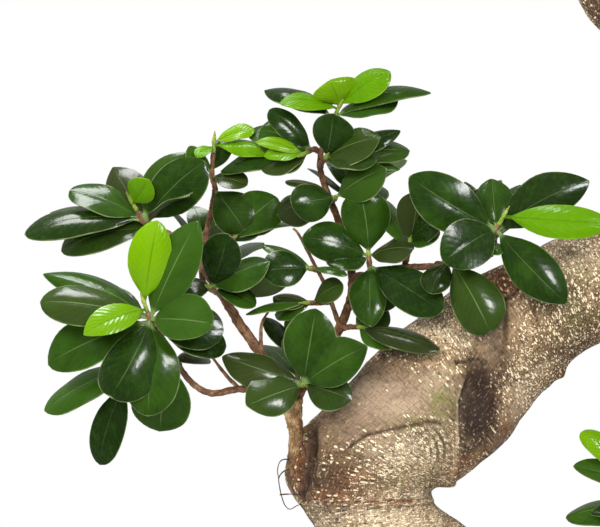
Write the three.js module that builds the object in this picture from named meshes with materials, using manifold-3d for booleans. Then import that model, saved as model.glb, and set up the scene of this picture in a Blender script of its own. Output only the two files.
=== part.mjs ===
// Chinese banyan bonsai in a glazed pot: an S-curved trunk with five leaf pads.
// Millimetres, +Z up, the pot's underside at Z = 0, the tree's best side faces -Y.

import * as THREE from 'three';
import { mergeVertices } from 'three/addons/utils/BufferGeometryUtils.js';
import Module from 'manifold-3d';

const wasm = await Module();
wasm.setup();

// Driving dimensions
const clearance = 0.35;
const detail = 0.25;
const trunkSides = 12;
const trunkStep = 36;
const limbSides = 5;
const stemSides = 4;
const bladeThickness = 1.7;
const petioleWidth = 2;
const petioleEnd = 0.17;
const bladeArch = 0.08;
const shootHeight = 26;
const goldenAngle = THREE.MathUtils.degToRad(137.5);

const pot = {
  length: 400,
  depth: 280,
  height: 105,
  wall: 12,
  corner: 56,
  footScale: 0.9,
  rimHeight: 16,
  rimOut: 7,
  drainX: 82,
  drainDiameter: 28,
};
const soilEdge = 92;
const soilCrown = 104;
const screen = { side: 42, thickness: 1.2, hole: 12, pitch: 9 };

// Trunk: each rib spans from a point on its left or upper side to one on its right or lower side.
// [left x, left z, right x, right z, middle y, half depth]
const trunkRibs = [
  [-46, 52, 36, 52, 0, 40],
  [-62, 84, 52, 84, 0, 54],
  [-76, 103, 66, 103, 0, 64],
  [-55, 120, 64, 122, 0, 53],
  [-38, 139, 67, 144, 2, 49],
  [-27, 158, 71, 172, 5, 46],
  [-23, 180, 69, 199, 7, 45],
  [-24, 196, 56, 228, 8, 43],
  [-43, 216, 23, 270, 6, 42],
  [-73, 249, -15, 307, 2, 40],
  [-113, 296, -36, 323, 0, 41],
  [-126, 315, -40, 330, -1, 43],
  [-137, 329, -41, 334, -2, 46],
  [-143, 344, -40, 336, -3, 48],
  [-140, 363, -38, 338, -4, 50],
  [-128, 381, -34, 339, -4, 50],
  [-113, 396, -26, 341, -4, 50],
  [-98, 411, -16, 347, -4, 50],
  [-84, 426, -6, 354, -4, 50],
  [-67, 442, 3, 361, -4, 49],
  [-50, 457, 14, 371, -3, 48],
  [-34, 470, 24, 386, -2, 46],
  [-17, 482, 36, 402, -1, 45],
  [1, 491, 49, 415, 1, 44],
  [21, 499, 61, 428, 3, 43],
  [46, 511, 78, 439, 5, 42],
  [71, 516, 100, 450, 7, 42],
  [96, 528, 131, 455, 9, 42],
  [123, 546, 190, 492, 12, 41],
  [134, 570, 218, 562, 14, 40],
  [127, 603, 197, 634, 12, 38],
  [102, 632, 151, 677, 8, 35],
  [72, 666, 120, 706, 4, 32],
  [38, 718, 89, 750, -2, 30],
  [-4, 796, 55, 800, -6, 28],
  [17, 858, 60, 836, -4, 24],
  [46, 893, 77, 868, -1, 18],
  [68, 912, 90, 896, 0, 12],
];

// Swellings and hollows of the trunk: [x, z, side towards -Y or +Y, radius, height]
const trunkRelief = [
  [-84, 372, -1, 34, 7],
  [-112, 336, -1, 22, 4],
  [-3, 396, -1, 19, -11],
  [12, 480, -1, 15, 6],
  [38, 455, -1, 30, 4],
  [-38, 420, -1, 24, 3],
  [-60, 300, -1, 20, 4],
  [40, 190, -1, 30, 5],
  [-90, 380, 1, 40, 6],
  [30, 440, 1, 36, 5],
  [160, 560, 1, 30, 4],
  [20, 180, 1, 30, 5],
];

// Surface roots: [azimuth in degrees, reach from the trunk's middle, radius where it leaves]
const surfaceRoots = [
  [6, 142, 19],
  [58, 104, 16],
  [112, 98, 15],
  [170, 146, 19],
  [216, 120, 16],
  [264, 100, 15],
  [316, 122, 17],
];

// Limbs: points [x, y, z, radius] from inside the parent to the tip
const limbs = {
  stub: [[-118, -10, 350, 10], [-131, -20, 371, 9.4], [-139, -25, 396, 8.6]],
  left: [
    [-139, -25, 391, 6.4], [-144, -26, 406, 5], [-160, -24, 431, 4.4], [-175, -18, 452, 4],
    [-188, -12, 473, 3.7], [-200, -8, 490, 3.3], [-210, -4, 508, 2.8],
  ],
  centre: [
    [-138, -25, 391, 6.2], [-134, -24, 404, 4.6], [-122, -18, 420, 4.2], [-106, -12, 448, 3.8],
    [-97, -6, 473, 3.5], [-98, 0, 496, 3.2], [-105, 4, 522, 3], [-114, 6, 545, 2.8],
    [-119, 6, 564, 2.5], [-116, 4, 582, 2.1],
  ],
  right: [
    [-97, -4, 479, 3.2], [-92, -8, 486, 3.1], [-82, -12, 485, 3], [-66, -18, 491, 2.8],
    [-37, -28, 493, 2.6], [-17, -34, 498, 2.4], [-3, -38, 508, 2.1],
  ],
  lowerLeft: [
    [-140, -26, 396, 4.2], [-160, -32, 404, 3.2], [-175, -36, 407, 2.9], [-195, -40, 404, 2.7],
    [-210, -42, 413, 2.5], [-223, -42, 433, 2.2],
  ],
  lowerTwig: [[-175, -36, 407, 1.8], [-184, -37, 416, 1.5], [-194, -38, 429, 1.1]],
  deadTwig: [[-160, -24, 432, 1.8], [-160, -27, 451, 1.3], [-155, -28, 461, 0.9]],
  forkTwig: [
    [-105, -12, 450, 2.1], [-115, -16, 478, 1.7], [-124, -20, 496, 1.4], [-134, -22, 515, 1.1],
    [-138, -22, 519, 0.9],
  ],
  corner: [
    [38, 4, 172, 13], [78, -3, 190, 10], [106, -9, 214, 8], [128, -13, 248, 6.5],
    [140, -13, 282, 5], [148, -10, 312, 3.4],
  ],
  cornerSide: [[132, -13, 256, 5], [166, -6, 272, 4.2], [204, 2, 282, 3.4], [236, 8, 290, 2.6]],
  rightHigh: [
    [176, 14, 572, 11], [228, 12, 588, 7.5], [266, 8, 602, 5.5], [300, 3, 612, 4], [330, 0, 620, 3],
  ],
  rightHighSide: [[264, 8, 601, 4], [282, 20, 618, 3.2], [300, 32, 632, 2.4]],
  leftHigh: [
    [28, -6, 794, 10], [-22, -8, 805, 6.5], [-60, -10, 818, 4.8], [-90, -9, 826, 3.8],
    [-120, -8, 832, 2.8],
  ],
  crownLeft: [[66, 0, 884, 11], [56, -6, 910, 7], [44, -12, 936, 3.4]],
  crownRight: [[76, 0, 890, 10], [94, 4, 912, 6], [114, 6, 936, 3.2]],
  crownTop: [[76, 0, 896, 9], [79, 2, 926, 5.5], [78, 2, 956, 2.8]],
};

// Sprays of the pad that the viewer sees best. stem: points [x, y, z] from the limb to the tip.
// leaves: [root along the stem 0 to 1, tip from the stem's end x, y, z, width, face in degrees,
// and, where the blade is strongly bowed, its arch as a share of its length]
// The face is 0 where the blade's upper side looks up and 90 where it looks towards -Y.
const leftPad = [
  {
    name: 'left_b',
    stem: [[-210, -4, 508], [-228, -8, 517], [-243, -10, 524], [-247, -11, 531]],
    leaves: [
      [0.85, -79, -10, -15, 26, 42],
      [0.9, -62, 12, 0, 25, 30],
      [0.95, -48, 6, 15, 26, 42],
      [1, -18, 26, 32, 28, 60],
      [0.9, 37, 14, 42, 28, 60],
      [0.8, 47, -8, 35, 32, 78],
      [0.75, 37, -20, 12, 25, 20],
      [0.55, -54, 4, -27, 28, 45],
    ],
    fresh: [[0.9, 8, -14, 22, 19, 80]],
  },
  {
    name: 'left_a',
    stem: [[-223, -42, 433], [-231, -48, 446], [-237, -54, 455], [-239, -56, 461]],
    leaves: [
      [0.9, -74, -6, 8, 30, 55],
      [0.85, -50, 22, 9, 28, 60],
      [0.85, -73, 18, 27, 26, 40],
      [0.8, -70, 8, -36, 32, 65],
      [0.9, -25, -26, -58, 36, 80],
      [0.8, 1, -16, -72, 36, 82],
      [0.9, 46, -18, -8, 32, 70],
      [0.7, 53, 2, -13, 29, 65],
      [0.6, 55, 16, -24, 28, 50],
      [0.95, 35, -8, 63, 30, 75],
    ],
    fresh: [[1, 7, -12, 63, 27, 88], [0.2, -43, -25, -15, 21, 60]],
  },
  {
    name: 'left_low',
    stem: [[-216, -42, 423], [-235, -38, 431], [-249, -35, 425], [-254, -34, 411]],
    leaves: [
      [0.15, 23, 4, -34, 37, 84],
      [0.6, -58, 6, -19, 26, 42],
      [0.8, -47, 22, -17, 22, 30],
      [1, -19, 0, -57, 22, 55],
      [0.12, 58, 4, 17, 13, 50],
    ],
    fresh: [],
  },
  {
    name: 'left_d',
    stem: [[-188, -12, 473], [-192, -23, 476], [-196, -32, 478]],
    leaves: [
      [0.95, 13, -18, 37, 26, 72],
      [1, 42, -10, 18, 27, 50],
      [0.9, 54, -12, 3, 24, -42],
      [0.7, 32, -2, -13, 21, 26],
      [0.8, -25, 4, 0, 20, 42],
    ],
    fresh: [],
  },
  {
    name: 'left_c',
    stem: [[-200, -8, 490], [-192, -7, 500], [-184, -6, 507], [-179, -6, 513]],
    leaves: [
      [1, 30, 4, 28, 30, 66],
      [0.9, 48, -6, 10, 20, 10],
      [0.8, 20, 22, 18, 24, 40],
    ],
    fresh: [],
  },
  {
    name: 'left_top',
    stem: [[-203, -6, 495], [-198, 4, 520], [-193, 6, 545], [-195, 5, 557], [-194, 4, 572]],
    leaves: [
      [1, -17, 2, 5, 14, 42],
      [0.96, 11, 10, 11, 13, 40],
      [0.8, 24, -8, -22, 18, 42],
      [0.68, 22, -14, -54, 28, 80],
    ],
    fresh: [[1, 29, -2, 17, 13, 42], [0.6, -12, -12, -2, 9, 40], [0.7, 41, -10, 1, 16, 38]],
  },
  {
    name: 'mid_f',
    stem: [[-116, 4, 582], [-111, 1, 592], [-108, -1, 599]],
    leaves: [
      [0.9, -50, 10, 18, 24, 34, 0.16],
      [0.8, 67, 14, 17, 24, 24, 0.16],
      [0.85, 44, -12, 12, 24, 32, 0.14],
    ],
    fresh: [[0.6, -39, -10, 9, 16, 40], [1, -4, -10, 24, 30, 80], [0.9, 38, -2, 31, 22, 46]],
  },
  {
    name: 'mid_g',
    stem: [[-119, 6, 562], [-118, -6, 565], [-115, -16, 569]],
    leaves: [
      [1, 5, -15, 30, 27, 85],
      [0.95, 38, -14, 14, 28, 56],
      [0.7, 59, 6, 5, 26, 36],
      [0.5, 52, 16, 20, 23, 30],
      [0.85, 35, -12, -2, 22, 42],
      [0.6, 52, -2, -8, 15, 30],
    ],
    fresh: [],
  },
  {
    name: 'mid_h',
    stem: [[-118, 6, 572], [-123, 0, 575], [-127, -7, 573]],
    leaves: [
      [1, -34, -15, 16, 27, 66],
      [0.7, -27, 6, 30, 18, 52],
      [0.8, -42, 6, 15, 19, 42],
      [0.9, -26, -20, -10, 20, 46],
      [0.7, -33, -2, -13, 20, 32],
      [0.5, -62, 6, -14, 23, 32],
      [0.4, -58, 18, 3, 17, 22],
    ],
    fresh: [[0.8, -31, -10, -3, 15, 50], [1, -37, 4, 7, 11, 46]],
  },
  {
    name: 'mid_i',
    stem: [[-111, 5, 538], [-109, -8, 540], [-108, -18, 541]],
    leaves: [
      [1, -31, -18, -4, 25, 74],
      [0.8, -41, 0, -12, 25, 52],
      [0.7, -35, 8, 12, 16, 22],
      [0.9, 35, -12, 20, 26, 66],
    ],
    fresh: [],
  },
  {
    name: 'right_i',
    stem: [[-82, -12, 485], [-84, -14, 493], [-85, -16, 501]],
    leaves: [
      [0.9, -46, -14, 12, 27, 70],
      [1, -6, -8, 44, 31, 80],
      [0.8, -29, -20, -6, 23, 32],
      [0.9, 31, -12, 4, 23, 46],
      [0.5, 1, -22, -50, 24, 80],
      [0.55, 14, -4, -39, 24, 70],
      [0.5, 51, -34, -40, 27, 80],
    ],
    fresh: [],
  },
  {
    name: 'right_j',
    stem: [[-60, -20, 491], [-58, -24, 500], [-56, -26, 510]],
    leaves: [
      [0.95, 6, -4, 34, 23, 60],
      [1, 21, -14, 19, 23, 60],
      [0.85, 16, 8, 24, 20, 50],
      [0.9, 19, -22, 3, 19, 46],
      [0.7, -28, 4, 34, 19, 14],
      [0.8, -15, 12, 24, 13, 12],
    ],
    fresh: [],
  },
  {
    name: 'right_k',
    stem: [[-3, -38, 508], [1, -41, 514], [5, -43, 521]],
    leaves: [
      [0.95, -62, -6, 34, 35, 80],
      [1, -39, -24, -25, 32, 80],
      [0.95, -4, 14, 33, 24, 70],
      [0.55, 64, 10, 31, 30, 76],
      [0.8, 47, -16, -54, 30, 76],
      [0.2, 1, -10, -20, 13, 40],
    ],
    fresh: [[1, 80, -12, 1, 23, 74]],
  },
  {
    name: 'right_l',
    stem: [[-33, -30, 494], [-30, -37, 496], [-28, -43, 496]],
    leaves: [
      [1, 27, -16, -49, 32, 80],
      [0.8, 30, 4, 18, 22, 40],
      [0.8, -14, -14, -22, 20, 50],
    ],
    fresh: [],
  },
  {
    name: 'low_m',
    stem: [[-127, -21, 413], [-130, -33, 411], [-131, -43, 410]],
    leaves: [
      [0.95, 9, -6, 53, 34, 85],
      [0.95, 44, -10, 27, 31, 75],
      [0.9, 34, -8, -10, 26, 62],
      [1, -39, -20, -14, 30, 70],
      [0.85, -56, -2, 20, 27, 60],
    ],
    fresh: [],
  },
  {
    name: 'inner_n',
    stem: [[-112, -15, 468], [-120, -20, 467], [-127, -25, 467]],
    leaves: [
      [1, -44, -4, -7, 15, 18],
      [0.9, -25, 4, 4, 19, 28],
      [0.8, -24, 10, -8, 22, 40],
      [0.8, 24, -6, 13, 19, 46],
    ],
    fresh: [],
  },
  {
    name: 'inner_up',
    stem: [[-121, -18, 490], [-124, -25, 491], [-126, -31, 491]],
    leaves: [
      [1, -33, -4, -1, 26, 62],
      [0.9, -34, 10, 17, 17, 22],
      [0.8, 26, -8, -4, 12, 16],
    ],
    fresh: [],
  },
  {
    name: 'inner_low',
    stem: [[-106, -12, 448], [-99, -18, 450], [-92, -24, 450]],
    leaves: [
      [0.95, 24, -12, -13, 17, 46],
      [1, 56, -28, -15, 21, 42],
      [0.8, 20, 10, 14, 22, 50],
    ],
    fresh: [],
  },
];

// Sprays at the back and in the other pads: [name, start x, y, z, end x, y, z, leaves, reach, turn]
const roundSprays = [
  ['back_a', -188, -10, 473, -202, 46, 508, 7, 46, 20],
  ['back_b', -105, 5, 522, -93, 48, 553, 7, 44, 75],
  ['back_c', -124, -14, 424, -134, 26, 436, 6, 40, 130],
  ['back_d', -37, -26, 494, 2, 30, 527, 7, 44, 200],
  ['corner_b', 143, -12, 293, 170, -40, 344, 7, 58, 10],
  ['corner_c', 139, -12, 282, 142, 38, 344, 7, 54, 60],
  ['corner_d', 168, -5, 273, 204, -46, 308, 7, 58, 100],
  ['corner_e', 204, 2, 283, 232, 40, 316, 8, 60, 150],
  ['corner_f', 236, 8, 291, 270, -18, 306, 8, 62, 190],
  ['corner_g', 148, -10, 312, 188, 20, 356, 7, 56, 240],
  ['high_a', 230, 12, 589, 246, -34, 632, 7, 58, 30],
  ['high_b', 266, 8, 603, 292, -48, 626, 7, 60, 80],
  ['high_c', 329, 0, 620, 358, -16, 632, 8, 60, 120],
  ['high_d', 300, 32, 632, 336, 48, 646, 7, 58, 170],
  ['high_e', 282, 20, 618, 262, 58, 642, 7, 58, 210],
  ['high_f', 300, 4, 612, 304, 0, 672, 8, 58, 260],
  ['upper_a', -24, -8, 806, -34, -46, 850, 7, 58, 15],
  ['upper_b', -60, -10, 819, -88, -48, 844, 7, 60, 65],
  ['upper_c', -119, -8, 832, -150, -6, 844, 8, 60, 115],
  ['upper_d', -62, -9, 819, -102, 44, 846, 7, 60, 165],
  ['upper_e', -26, -8, 807, -46, 42, 854, 7, 58, 220],
  ['upper_f', -82, -9, 824, -80, -2, 882, 7, 56, 300],
  ['crown_a', 48, -10, 930, 12, -30, 948, 7, 58, 35],
  ['crown_b', 55, -7, 914, 66, -56, 952, 7, 58, 85],
  ['crown_c', 110, 6, 930, 132, -28, 954, 7, 58, 125],
  ['crown_d', 112, 6, 934, 142, 36, 946, 7, 58, 175],
  ['crown_e', 78, 2, 954, 78, -2, 992, 8, 56, 225],
  ['crown_f', 50, -10, 924, 44, 46, 950, 7, 56, 280],
];

// The corner spray's leaves that reach past the lower right pad's edge, towards the left pad.
const cornerSpray = {
  name: 'corner_a',
  stem: [[141, -13, 288], [124, -17, 310], [110, -18, 330], [101, -20, 341]],
  leaves: [
    [0.95, -43, -6, 12, 20, 50],
    [0.7, -48, 0, -23, 23, 42],
    [0.6, -31, -16, -20, 17, 40],
    [0.9, 30, -20, 22, 26, 50],
    [0.8, 40, 2, -8, 26, 30],
    [0.9, 6, 12, 44, 24, 60],
    [0.7, 30, -28, -22, 26, 60],
  ],
  fresh: [[1, -37, -6, 36, 17, 55], [0.8, 6, -10, 34, 18, 60]],
};

// Ways in which a leaf is bent clear of its neighbours: [towards +Y at the tip, turn in degrees]
const bends = [
  [0, 0], [-6, 0], [6, 0], [-12, 0], [12, 0], [-18, 0], [18, 0], [0, 7], [0, -7],
  [-25, 0], [25, 0], [-10, 8], [10, -8], [-10, -8], [10, 8], [-32, 0], [32, 0],
  [-16, 14], [16, -14], [-16, -14], [16, 14], [0, 20], [0, -20], [-24, 22], [24, -22],
];

// Solids

function vector([x, y, z]) {
  return new THREE.Vector3(x, y, z);
}

function meshOf(geometry) {
  const bare = geometry.clone();
  bare.deleteAttribute('normal');
  bare.deleteAttribute('uv');
  return mergeVertices(bare, 1e-5);
}

function solidOf(geometry) {
  const merged = meshOf(geometry);
  const vertProperties = new Float32Array(merged.attributes.position.array);
  const triVerts = new Uint32Array(merged.index.array);
  return new wasm.Manifold(new wasm.Mesh({ numProp: 3, vertProperties, triVerts }));
}

function geometryOf(solid) {
  const mesh = solid.simplify(detail).getMesh();
  const geometry = new THREE.BufferGeometry();
  geometry.setAttribute('position', new THREE.BufferAttribute(mesh.vertProperties, 3));
  geometry.setIndex(new THREE.BufferAttribute(mesh.triVerts, 1));
  return geometry;
}

function largestPiece(solid) {
  const pieces = solid.decompose();
  return pieces.reduce((best, piece) => (piece.volume() > best.volume() ? piece : best));
}

function signedVolume(points, faces) {
  let volume = 0;
  for (let index = 0; index < faces.length; index += 3) {
    const [a, b, c] = faces.slice(index, index + 3).map((point) => points[point]);
    volume += a.dot(b.clone().cross(c)) / 6;
  }
  return volume;
}

// A closed skin over rings of equal count, with its faces turned outwards
function loft(rings, tip = null) {
  const count = rings[0].length;
  const points = rings.flat();
  const faces = [];
  for (let ring = 0; ring < rings.length - 1; ring += 1) {
    for (let side = 0; side < count; side += 1) {
      const here = ring * count + side;
      const next = ring * count + ((side + 1) % count);
      faces.push(here, next, next + count, here, next + count, here + count);
    }
  }
  const last = (rings.length - 1) * count;
  for (let side = 1; side < count - 1; side += 1) {
    faces.push(0, side + 1, side);
    if (!tip) faces.push(last, last + side, last + side + 1);
  }
  if (tip) {
    points.push(tip);
    for (let side = 0; side < count; side += 1) {
      faces.push(last + side, last + ((side + 1) % count), points.length - 1);
    }
  }
  if (signedVolume(points, faces) < 0) faces.reverse();
  const geometry = new THREE.BufferGeometry().setFromPoints(points);
  geometry.setIndex(faces);
  return geometry;
}

// A tapered round tube through points [x, y, z, radius], grown on every side by a margin.
function tube(points, sides, margin = 0) {
  const places = points.map(vector);
  const tangents = places.map((place, index) => {
    const before = places[Math.max(index - 1, 0)];
    const after = places[Math.min(index + 1, places.length - 1)];
    return after.clone().sub(before).normalize();
  });
  places[0].addScaledVector(tangents[0], -margin);
  places.at(-1).addScaledVector(tangents.at(-1), margin);
  let across = new THREE.Vector3(0, 1, 0.02);
  const rings = places.map((place, index) => {
    const tangent = tangents[index];
    across = across.clone().addScaledVector(tangent, -across.dot(tangent)).normalize();
    const other = tangent.clone().cross(across);
    const radius = points[index][3] + margin;
    return Array.from({ length: sides }, (_, side) => {
      const angle = (2 * Math.PI * side) / sides;
      return place
        .clone()
        .addScaledVector(across, radius * Math.cos(angle))
        .addScaledVector(other, radius * Math.sin(angle));
    });
  });
  return loft(rings);
}

// Trunk

function interpolateRibs(position) {
  const start = Math.min(Math.floor(position), trunkRibs.length - 2);
  const t = position - start;
  const rib = (index) => trunkRibs[THREE.MathUtils.clamp(index, 0, trunkRibs.length - 1)];
  return trunkRibs[0].map((_, column) => {
    const [a, b, c, d] = [-1, 0, 1, 2].map((shift) => rib(start + shift)[column]);
    const cubic = (3 * (b - c) + d - a) * t + (2 * a - 5 * b + 4 * c - d);
    return b + 0.5 * t * (c - a + t * cubic);
  });
}

function ribMiddle(rib) {
  return new THREE.Vector3((rib[0] + rib[2]) / 2, rib[4], (rib[1] + rib[3]) / 2);
}

// Positions along the ribs, about one trunk step apart on the side where the trunk bends outwards.
function trunkStations() {
  const fine = 12;
  const stations = [0];
  let walked = 0;
  let before = trunkRibs[0];
  for (let index = 1; index <= (trunkRibs.length - 1) * fine; index += 1) {
    const rib = interpolateRibs(index / fine);
    const left = Math.hypot(rib[0] - before[0], rib[1] - before[1]);
    const right = Math.hypot(rib[2] - before[2], rib[3] - before[3]);
    walked += Math.max(left, right);
    before = rib;
    if (walked >= trunkStep) {
      stations.push(index / fine);
      walked = 0;
    }
  }
  stations.push(trunkRibs.length - 1);
  return stations;
}

function reliefAt(point, outwardY) {
  return trunkRelief.reduce((sum, [x, z, side, radius, height]) => {
    const near = Math.exp(-((point.x - x) ** 2 + (point.z - z) ** 2) / radius ** 2);
    return sum + height * near * Math.max(0, side * outwardY);
  }, 0);
}

function trunkRing(position, margin) {
  const rib = interpolateRibs(position);
  const middle = ribMiddle(rib);
  const right = new THREE.Vector3(rib[2] - rib[0], 0, rib[3] - rib[1]).multiplyScalar(0.5);
  const halfWidth = right.length();
  right.normalize();
  const flare = THREE.MathUtils.clamp((150 - middle.z) / 60, 0, 1) * (position < 5 ? 1 : 0);
  return Array.from({ length: trunkSides }, (_, side) => {
    const angle = (2 * Math.PI * side) / trunkSides;
    const lobe = 1 + 0.11 * flare * (side % 2 === 0 ? 1 : -1);
    const wide = halfWidth * lobe * Math.cos(angle);
    const deep = rib[5] * lobe * Math.sin(angle);
    const point = middle.clone().addScaledVector(right, wide);
    point.y -= deep;
    const outward = point.clone().sub(middle).normalize();
    return point.addScaledVector(outward, reliefAt(point, outward.y) + margin);
  });
}

function surfaceRoot([azimuth, reach, radius], margin) {
  const angle = THREE.MathUtils.degToRad(azimuth);
  const middleX = -5;
  const along = (distance, z, size, swing) => [
    middleX + distance * Math.cos(angle + swing),
    distance * Math.sin(angle + swing),
    z,
    size,
  ];
  const points = [
    along(0.3 * reach, 118, radius, 0),
    along(0.58 * reach, 106, 0.8 * radius, 0.08),
    along(0.82 * reach, 98, 0.55 * radius, 0.02),
    along(reach, 88, 0.35 * radius, -0.06),
  ];
  return solidOf(tube(points, limbSides, margin));
}

function trunkSolid(margin) {
  const rings = trunkStations().map((position) => trunkRing(position, margin));
  const roots = surfaceRoots.map((root) => surfaceRoot(root, margin));
  return roots.reduce((sum, root) => sum.add(root), solidOf(loft(rings)));
}

function woodSolid(margin) {
  const tubes = Object.values(limbs).map((limb) => solidOf(tube(limb, limbSides, margin)));
  return tubes.reduce((sum, limb) => sum.add(limb), trunkSolid(margin));
}

// Leaves

// The leaf's own directions: along its length, across it and out of its upper side.
function leafFrame(stem, row, [push, turn]) {
  const [along, x, y, z, width, face, arch = bladeArch] = row;
  const root = stem.curve.getPointAt(Math.min(along, stem.lastRoot));
  const reach = new THREE.Vector3(x, y + push, z).add(stem.end).sub(root);
  reach.applyAxisAngle(new THREE.Vector3(0, 1, 0), THREE.MathUtils.degToRad(-turn));
  const length = reach.length();
  const axis = reach.normalize();
  const tilt = THREE.MathUtils.degToRad(face);
  const normal = new THREE.Vector3(0, -Math.sin(tilt), Math.cos(tilt));
  normal.addScaledVector(axis, -normal.dot(axis)).normalize();
  const across = axis.clone().cross(normal);
  return { root, length, axis, normal, across, width, arch, fine: stem.fine };
}

// A leaf's section across its length: left edge, right edge and the midrib's keel below
function bladeRing(leaf, [position, width]) {
  const arch = leaf.arch * leaf.length * 4 * position * (1 - position);
  const middle = leaf.root
    .clone()
    .addScaledVector(leaf.axis, leaf.length * position)
    .addScaledVector(leaf.normal, arch);
  return [
    middle.clone().addScaledVector(leaf.across, -width / 2),
    middle.clone().addScaledVector(leaf.across, width / 2),
    middle.clone().addScaledVector(leaf.normal, -bladeThickness),
  ];
}

// A petiole, a blade that is widest past its middle, and a pointed tip
function leafSolid(leaf, outerOnly = false) {
  const petiole = [[0, petioleWidth], [petioleEnd, 1.3 * petioleWidth]];
  const blade = leaf.fine ? [[0.5, 0.94 * leaf.width], [0.78, 0.88 * leaf.width]] : [[0.62, leaf.width]];
  const sections = outerOnly ? [[0.4, 0.7 * leaf.width], ...blade] : [...petiole, ...blade];
  const tip = leaf.root.clone().addScaledVector(leaf.axis, leaf.length);
  return solidOf(loft(sections.map((section) => bladeRing(leaf, section)), tip));
}

// What stands in the way: solids with their boxes and the node that they belong to
const obstacles = [];

function addObstacle(node, solid, outer = null) {
  obstacles.push({ node, solid, outer, box: solid.boundingBox() });
}

function boxesMeet(a, b, margin) {
  return [0, 1, 2].every((k) => a.min[k] - margin < b.max[k] && b.min[k] - margin < a.max[k]);
}

function isClear(node, solid, outer) {
  const box = solid.boundingBox();
  return obstacles.every((other) => {
    if (!boxesMeet(box, other.box, clearance)) return true;
    if (other.node !== node) return solid.minGap(other.solid, 1) >= clearance;
    if (!other.outer) return true;
    return outer.minGap(other.outer, 1) > 0.1;
  });
}

function growLeaves(node, stem, rows) {
  const grown = [];
  for (const row of rows) {
    for (const bend of bends) {
      const leaf = leafFrame(stem, row, bend);
      const solid = leafSolid(leaf);
      const outer = leafSolid(leaf, true);
      if (isClear(node, solid, outer)) {
        addObstacle(node, solid, outer);
        grown.push(solid);
        break;
      }
    }
  }
  return grown;
}

// Stems

function polyline(points) {
  const path = new THREE.CurvePath();
  for (let index = 1; index < points.length; index += 1) {
    path.add(new THREE.LineCurve3(vector(points[index - 1]), vector(points[index])));
  }
  return path;
}

function stemOf(points, thick, thin) {
  const last = points.length - 1;
  const sized = points.map((point, index) => [...point, THREE.MathUtils.lerp(thick, thin, index / last)]);
  return { curve: polyline(points), end: vector(points[last]), solid: solidOf(tube(sized, stemSides)) };
}

// The soft green shoot that carries a spray's youngest leaves, just past the stem's end
function freshStem(stem) {
  const direction = stem.curve.getTangentAt(1);
  const start = stem.end.clone().addScaledVector(direction, clearance);
  const end = start.clone().addScaledVector(direction, 7);
  const fresh = stemOf([start.toArray(), end.toArray()], 1.6, 1.3);
  return { ...fresh, end: stem.end, fine: true, lastRoot: 0.985 };
}

// A stem that leaves its limb sideways and then stands up, with room for the leaves' roots
function roundStem([, sx, sy, sz, ex, ey, ez]) {
  return [[sx, sy, sz], [ex, ey, ez - shootHeight], [ex, ey, ez]];
}

// Leaves in a spiral around the stem's end, from the oldest and lowest to the youngest
function roundLeaves(row) {
  const [, , , , , , , count, reach, turn] = row;
  const stemLength = polyline(roundStem(row)).getLength();
  return Array.from({ length: count }, (_, index) => {
    const age = 1 - index / (count - 1);
    const azimuth = THREE.MathUtils.degToRad(turn) + index * goldenAngle;
    const rise = THREE.MathUtils.degToRad(THREE.MathUtils.lerp(66, 2, age));
    const length = reach * THREE.MathUtils.lerp(0.66, 1, age);
    return [
      1 - (0.86 * age * shootHeight) / stemLength,
      length * Math.cos(rise) * Math.cos(azimuth),
      length * Math.cos(rise) * Math.sin(azimuth),
      length * Math.sin(rise),
      0.58 * length,
      THREE.MathUtils.lerp(8, 28, (index * 0.618) % 1),
    ];
  });
}

// Pot, soil and drain screens

function roundedRing(length, depth, corner, z) {
  const shape = new THREE.Shape();
  const [x, y] = [length / 2 - corner, depth / 2 - corner];
  shape.absarc(x, y, corner, 0, Math.PI / 2);
  shape.absarc(-x, y, corner, Math.PI / 2, Math.PI);
  shape.absarc(-x, -y, corner, Math.PI, 1.5 * Math.PI);
  shape.absarc(x, -y, corner, 1.5 * Math.PI, 2 * Math.PI);
  const outline = shape.getPoints(3).slice(0, -1);
  return outline.map((point) => new THREE.Vector3(point.x, point.y, z));
}

// A ring of the pot, drawn in or out from its body at the rim
function potRing(z, inset) {
  const scale = THREE.MathUtils.lerp(pot.footScale, 1, z / pot.height);
  return roundedRing(
    pot.length * scale - 2 * inset,
    pot.depth * scale - 2 * inset,
    pot.corner * scale - inset,
    z,
  );
}

function cylinderAt(x, diameter, low, high) {
  const cylinder = new THREE.CylinderGeometry(diameter / 2, diameter / 2, high - low, 12);
  cylinder.rotateX(Math.PI / 2);
  cylinder.translate(x, 0, (low + high) / 2);
  return solidOf(cylinder);
}

function potSolid() {
  const rimLow = pot.height - pot.rimHeight;
  const body = solidOf(loft([
    potRing(0, 0),
    potRing(rimLow, 0),
    potRing(rimLow + 3, -pot.rimOut),
    potRing(pot.height, -pot.rimOut),
  ]));
  const hollow = solidOf(loft([potRing(pot.wall, pot.wall), potRing(pot.height + 1, pot.wall)]));
  const drains = [-pot.drainX, pot.drainX].map((x) => cylinderAt(x, pot.drainDiameter, -1, pot.wall + 1));
  return drains.reduce((sum, drain) => sum.subtract(drain), body.subtract(hollow));
}

function soilSolid() {
  const side = pot.wall + clearance;
  const crownRing = (scale, z) => {
    const ring = potRing(soilEdge, side);
    return ring.map((point) => new THREE.Vector3(point.x * scale, point.y * scale, z));
  };
  return solidOf(loft([
    potRing(pot.wall + clearance, side),
    potRing(soilEdge, side),
    crownRing(0.72, soilEdge + 8),
    crownRing(0.3, soilCrown),
  ]));
}

function boxAt(x, y, low, sizeX, sizeY, height) {
  const box = new THREE.BoxGeometry(sizeX, sizeY, height);
  box.translate(x, y, low + height / 2);
  return solidOf(box);
}

function screenSolid(x, margin = 0) {
  const side = screen.side + 2 * margin;
  const low = pot.wall + clearance - margin;
  return boxAt(x, 0, low, side, side, screen.thickness + 2 * margin);
}

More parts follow.
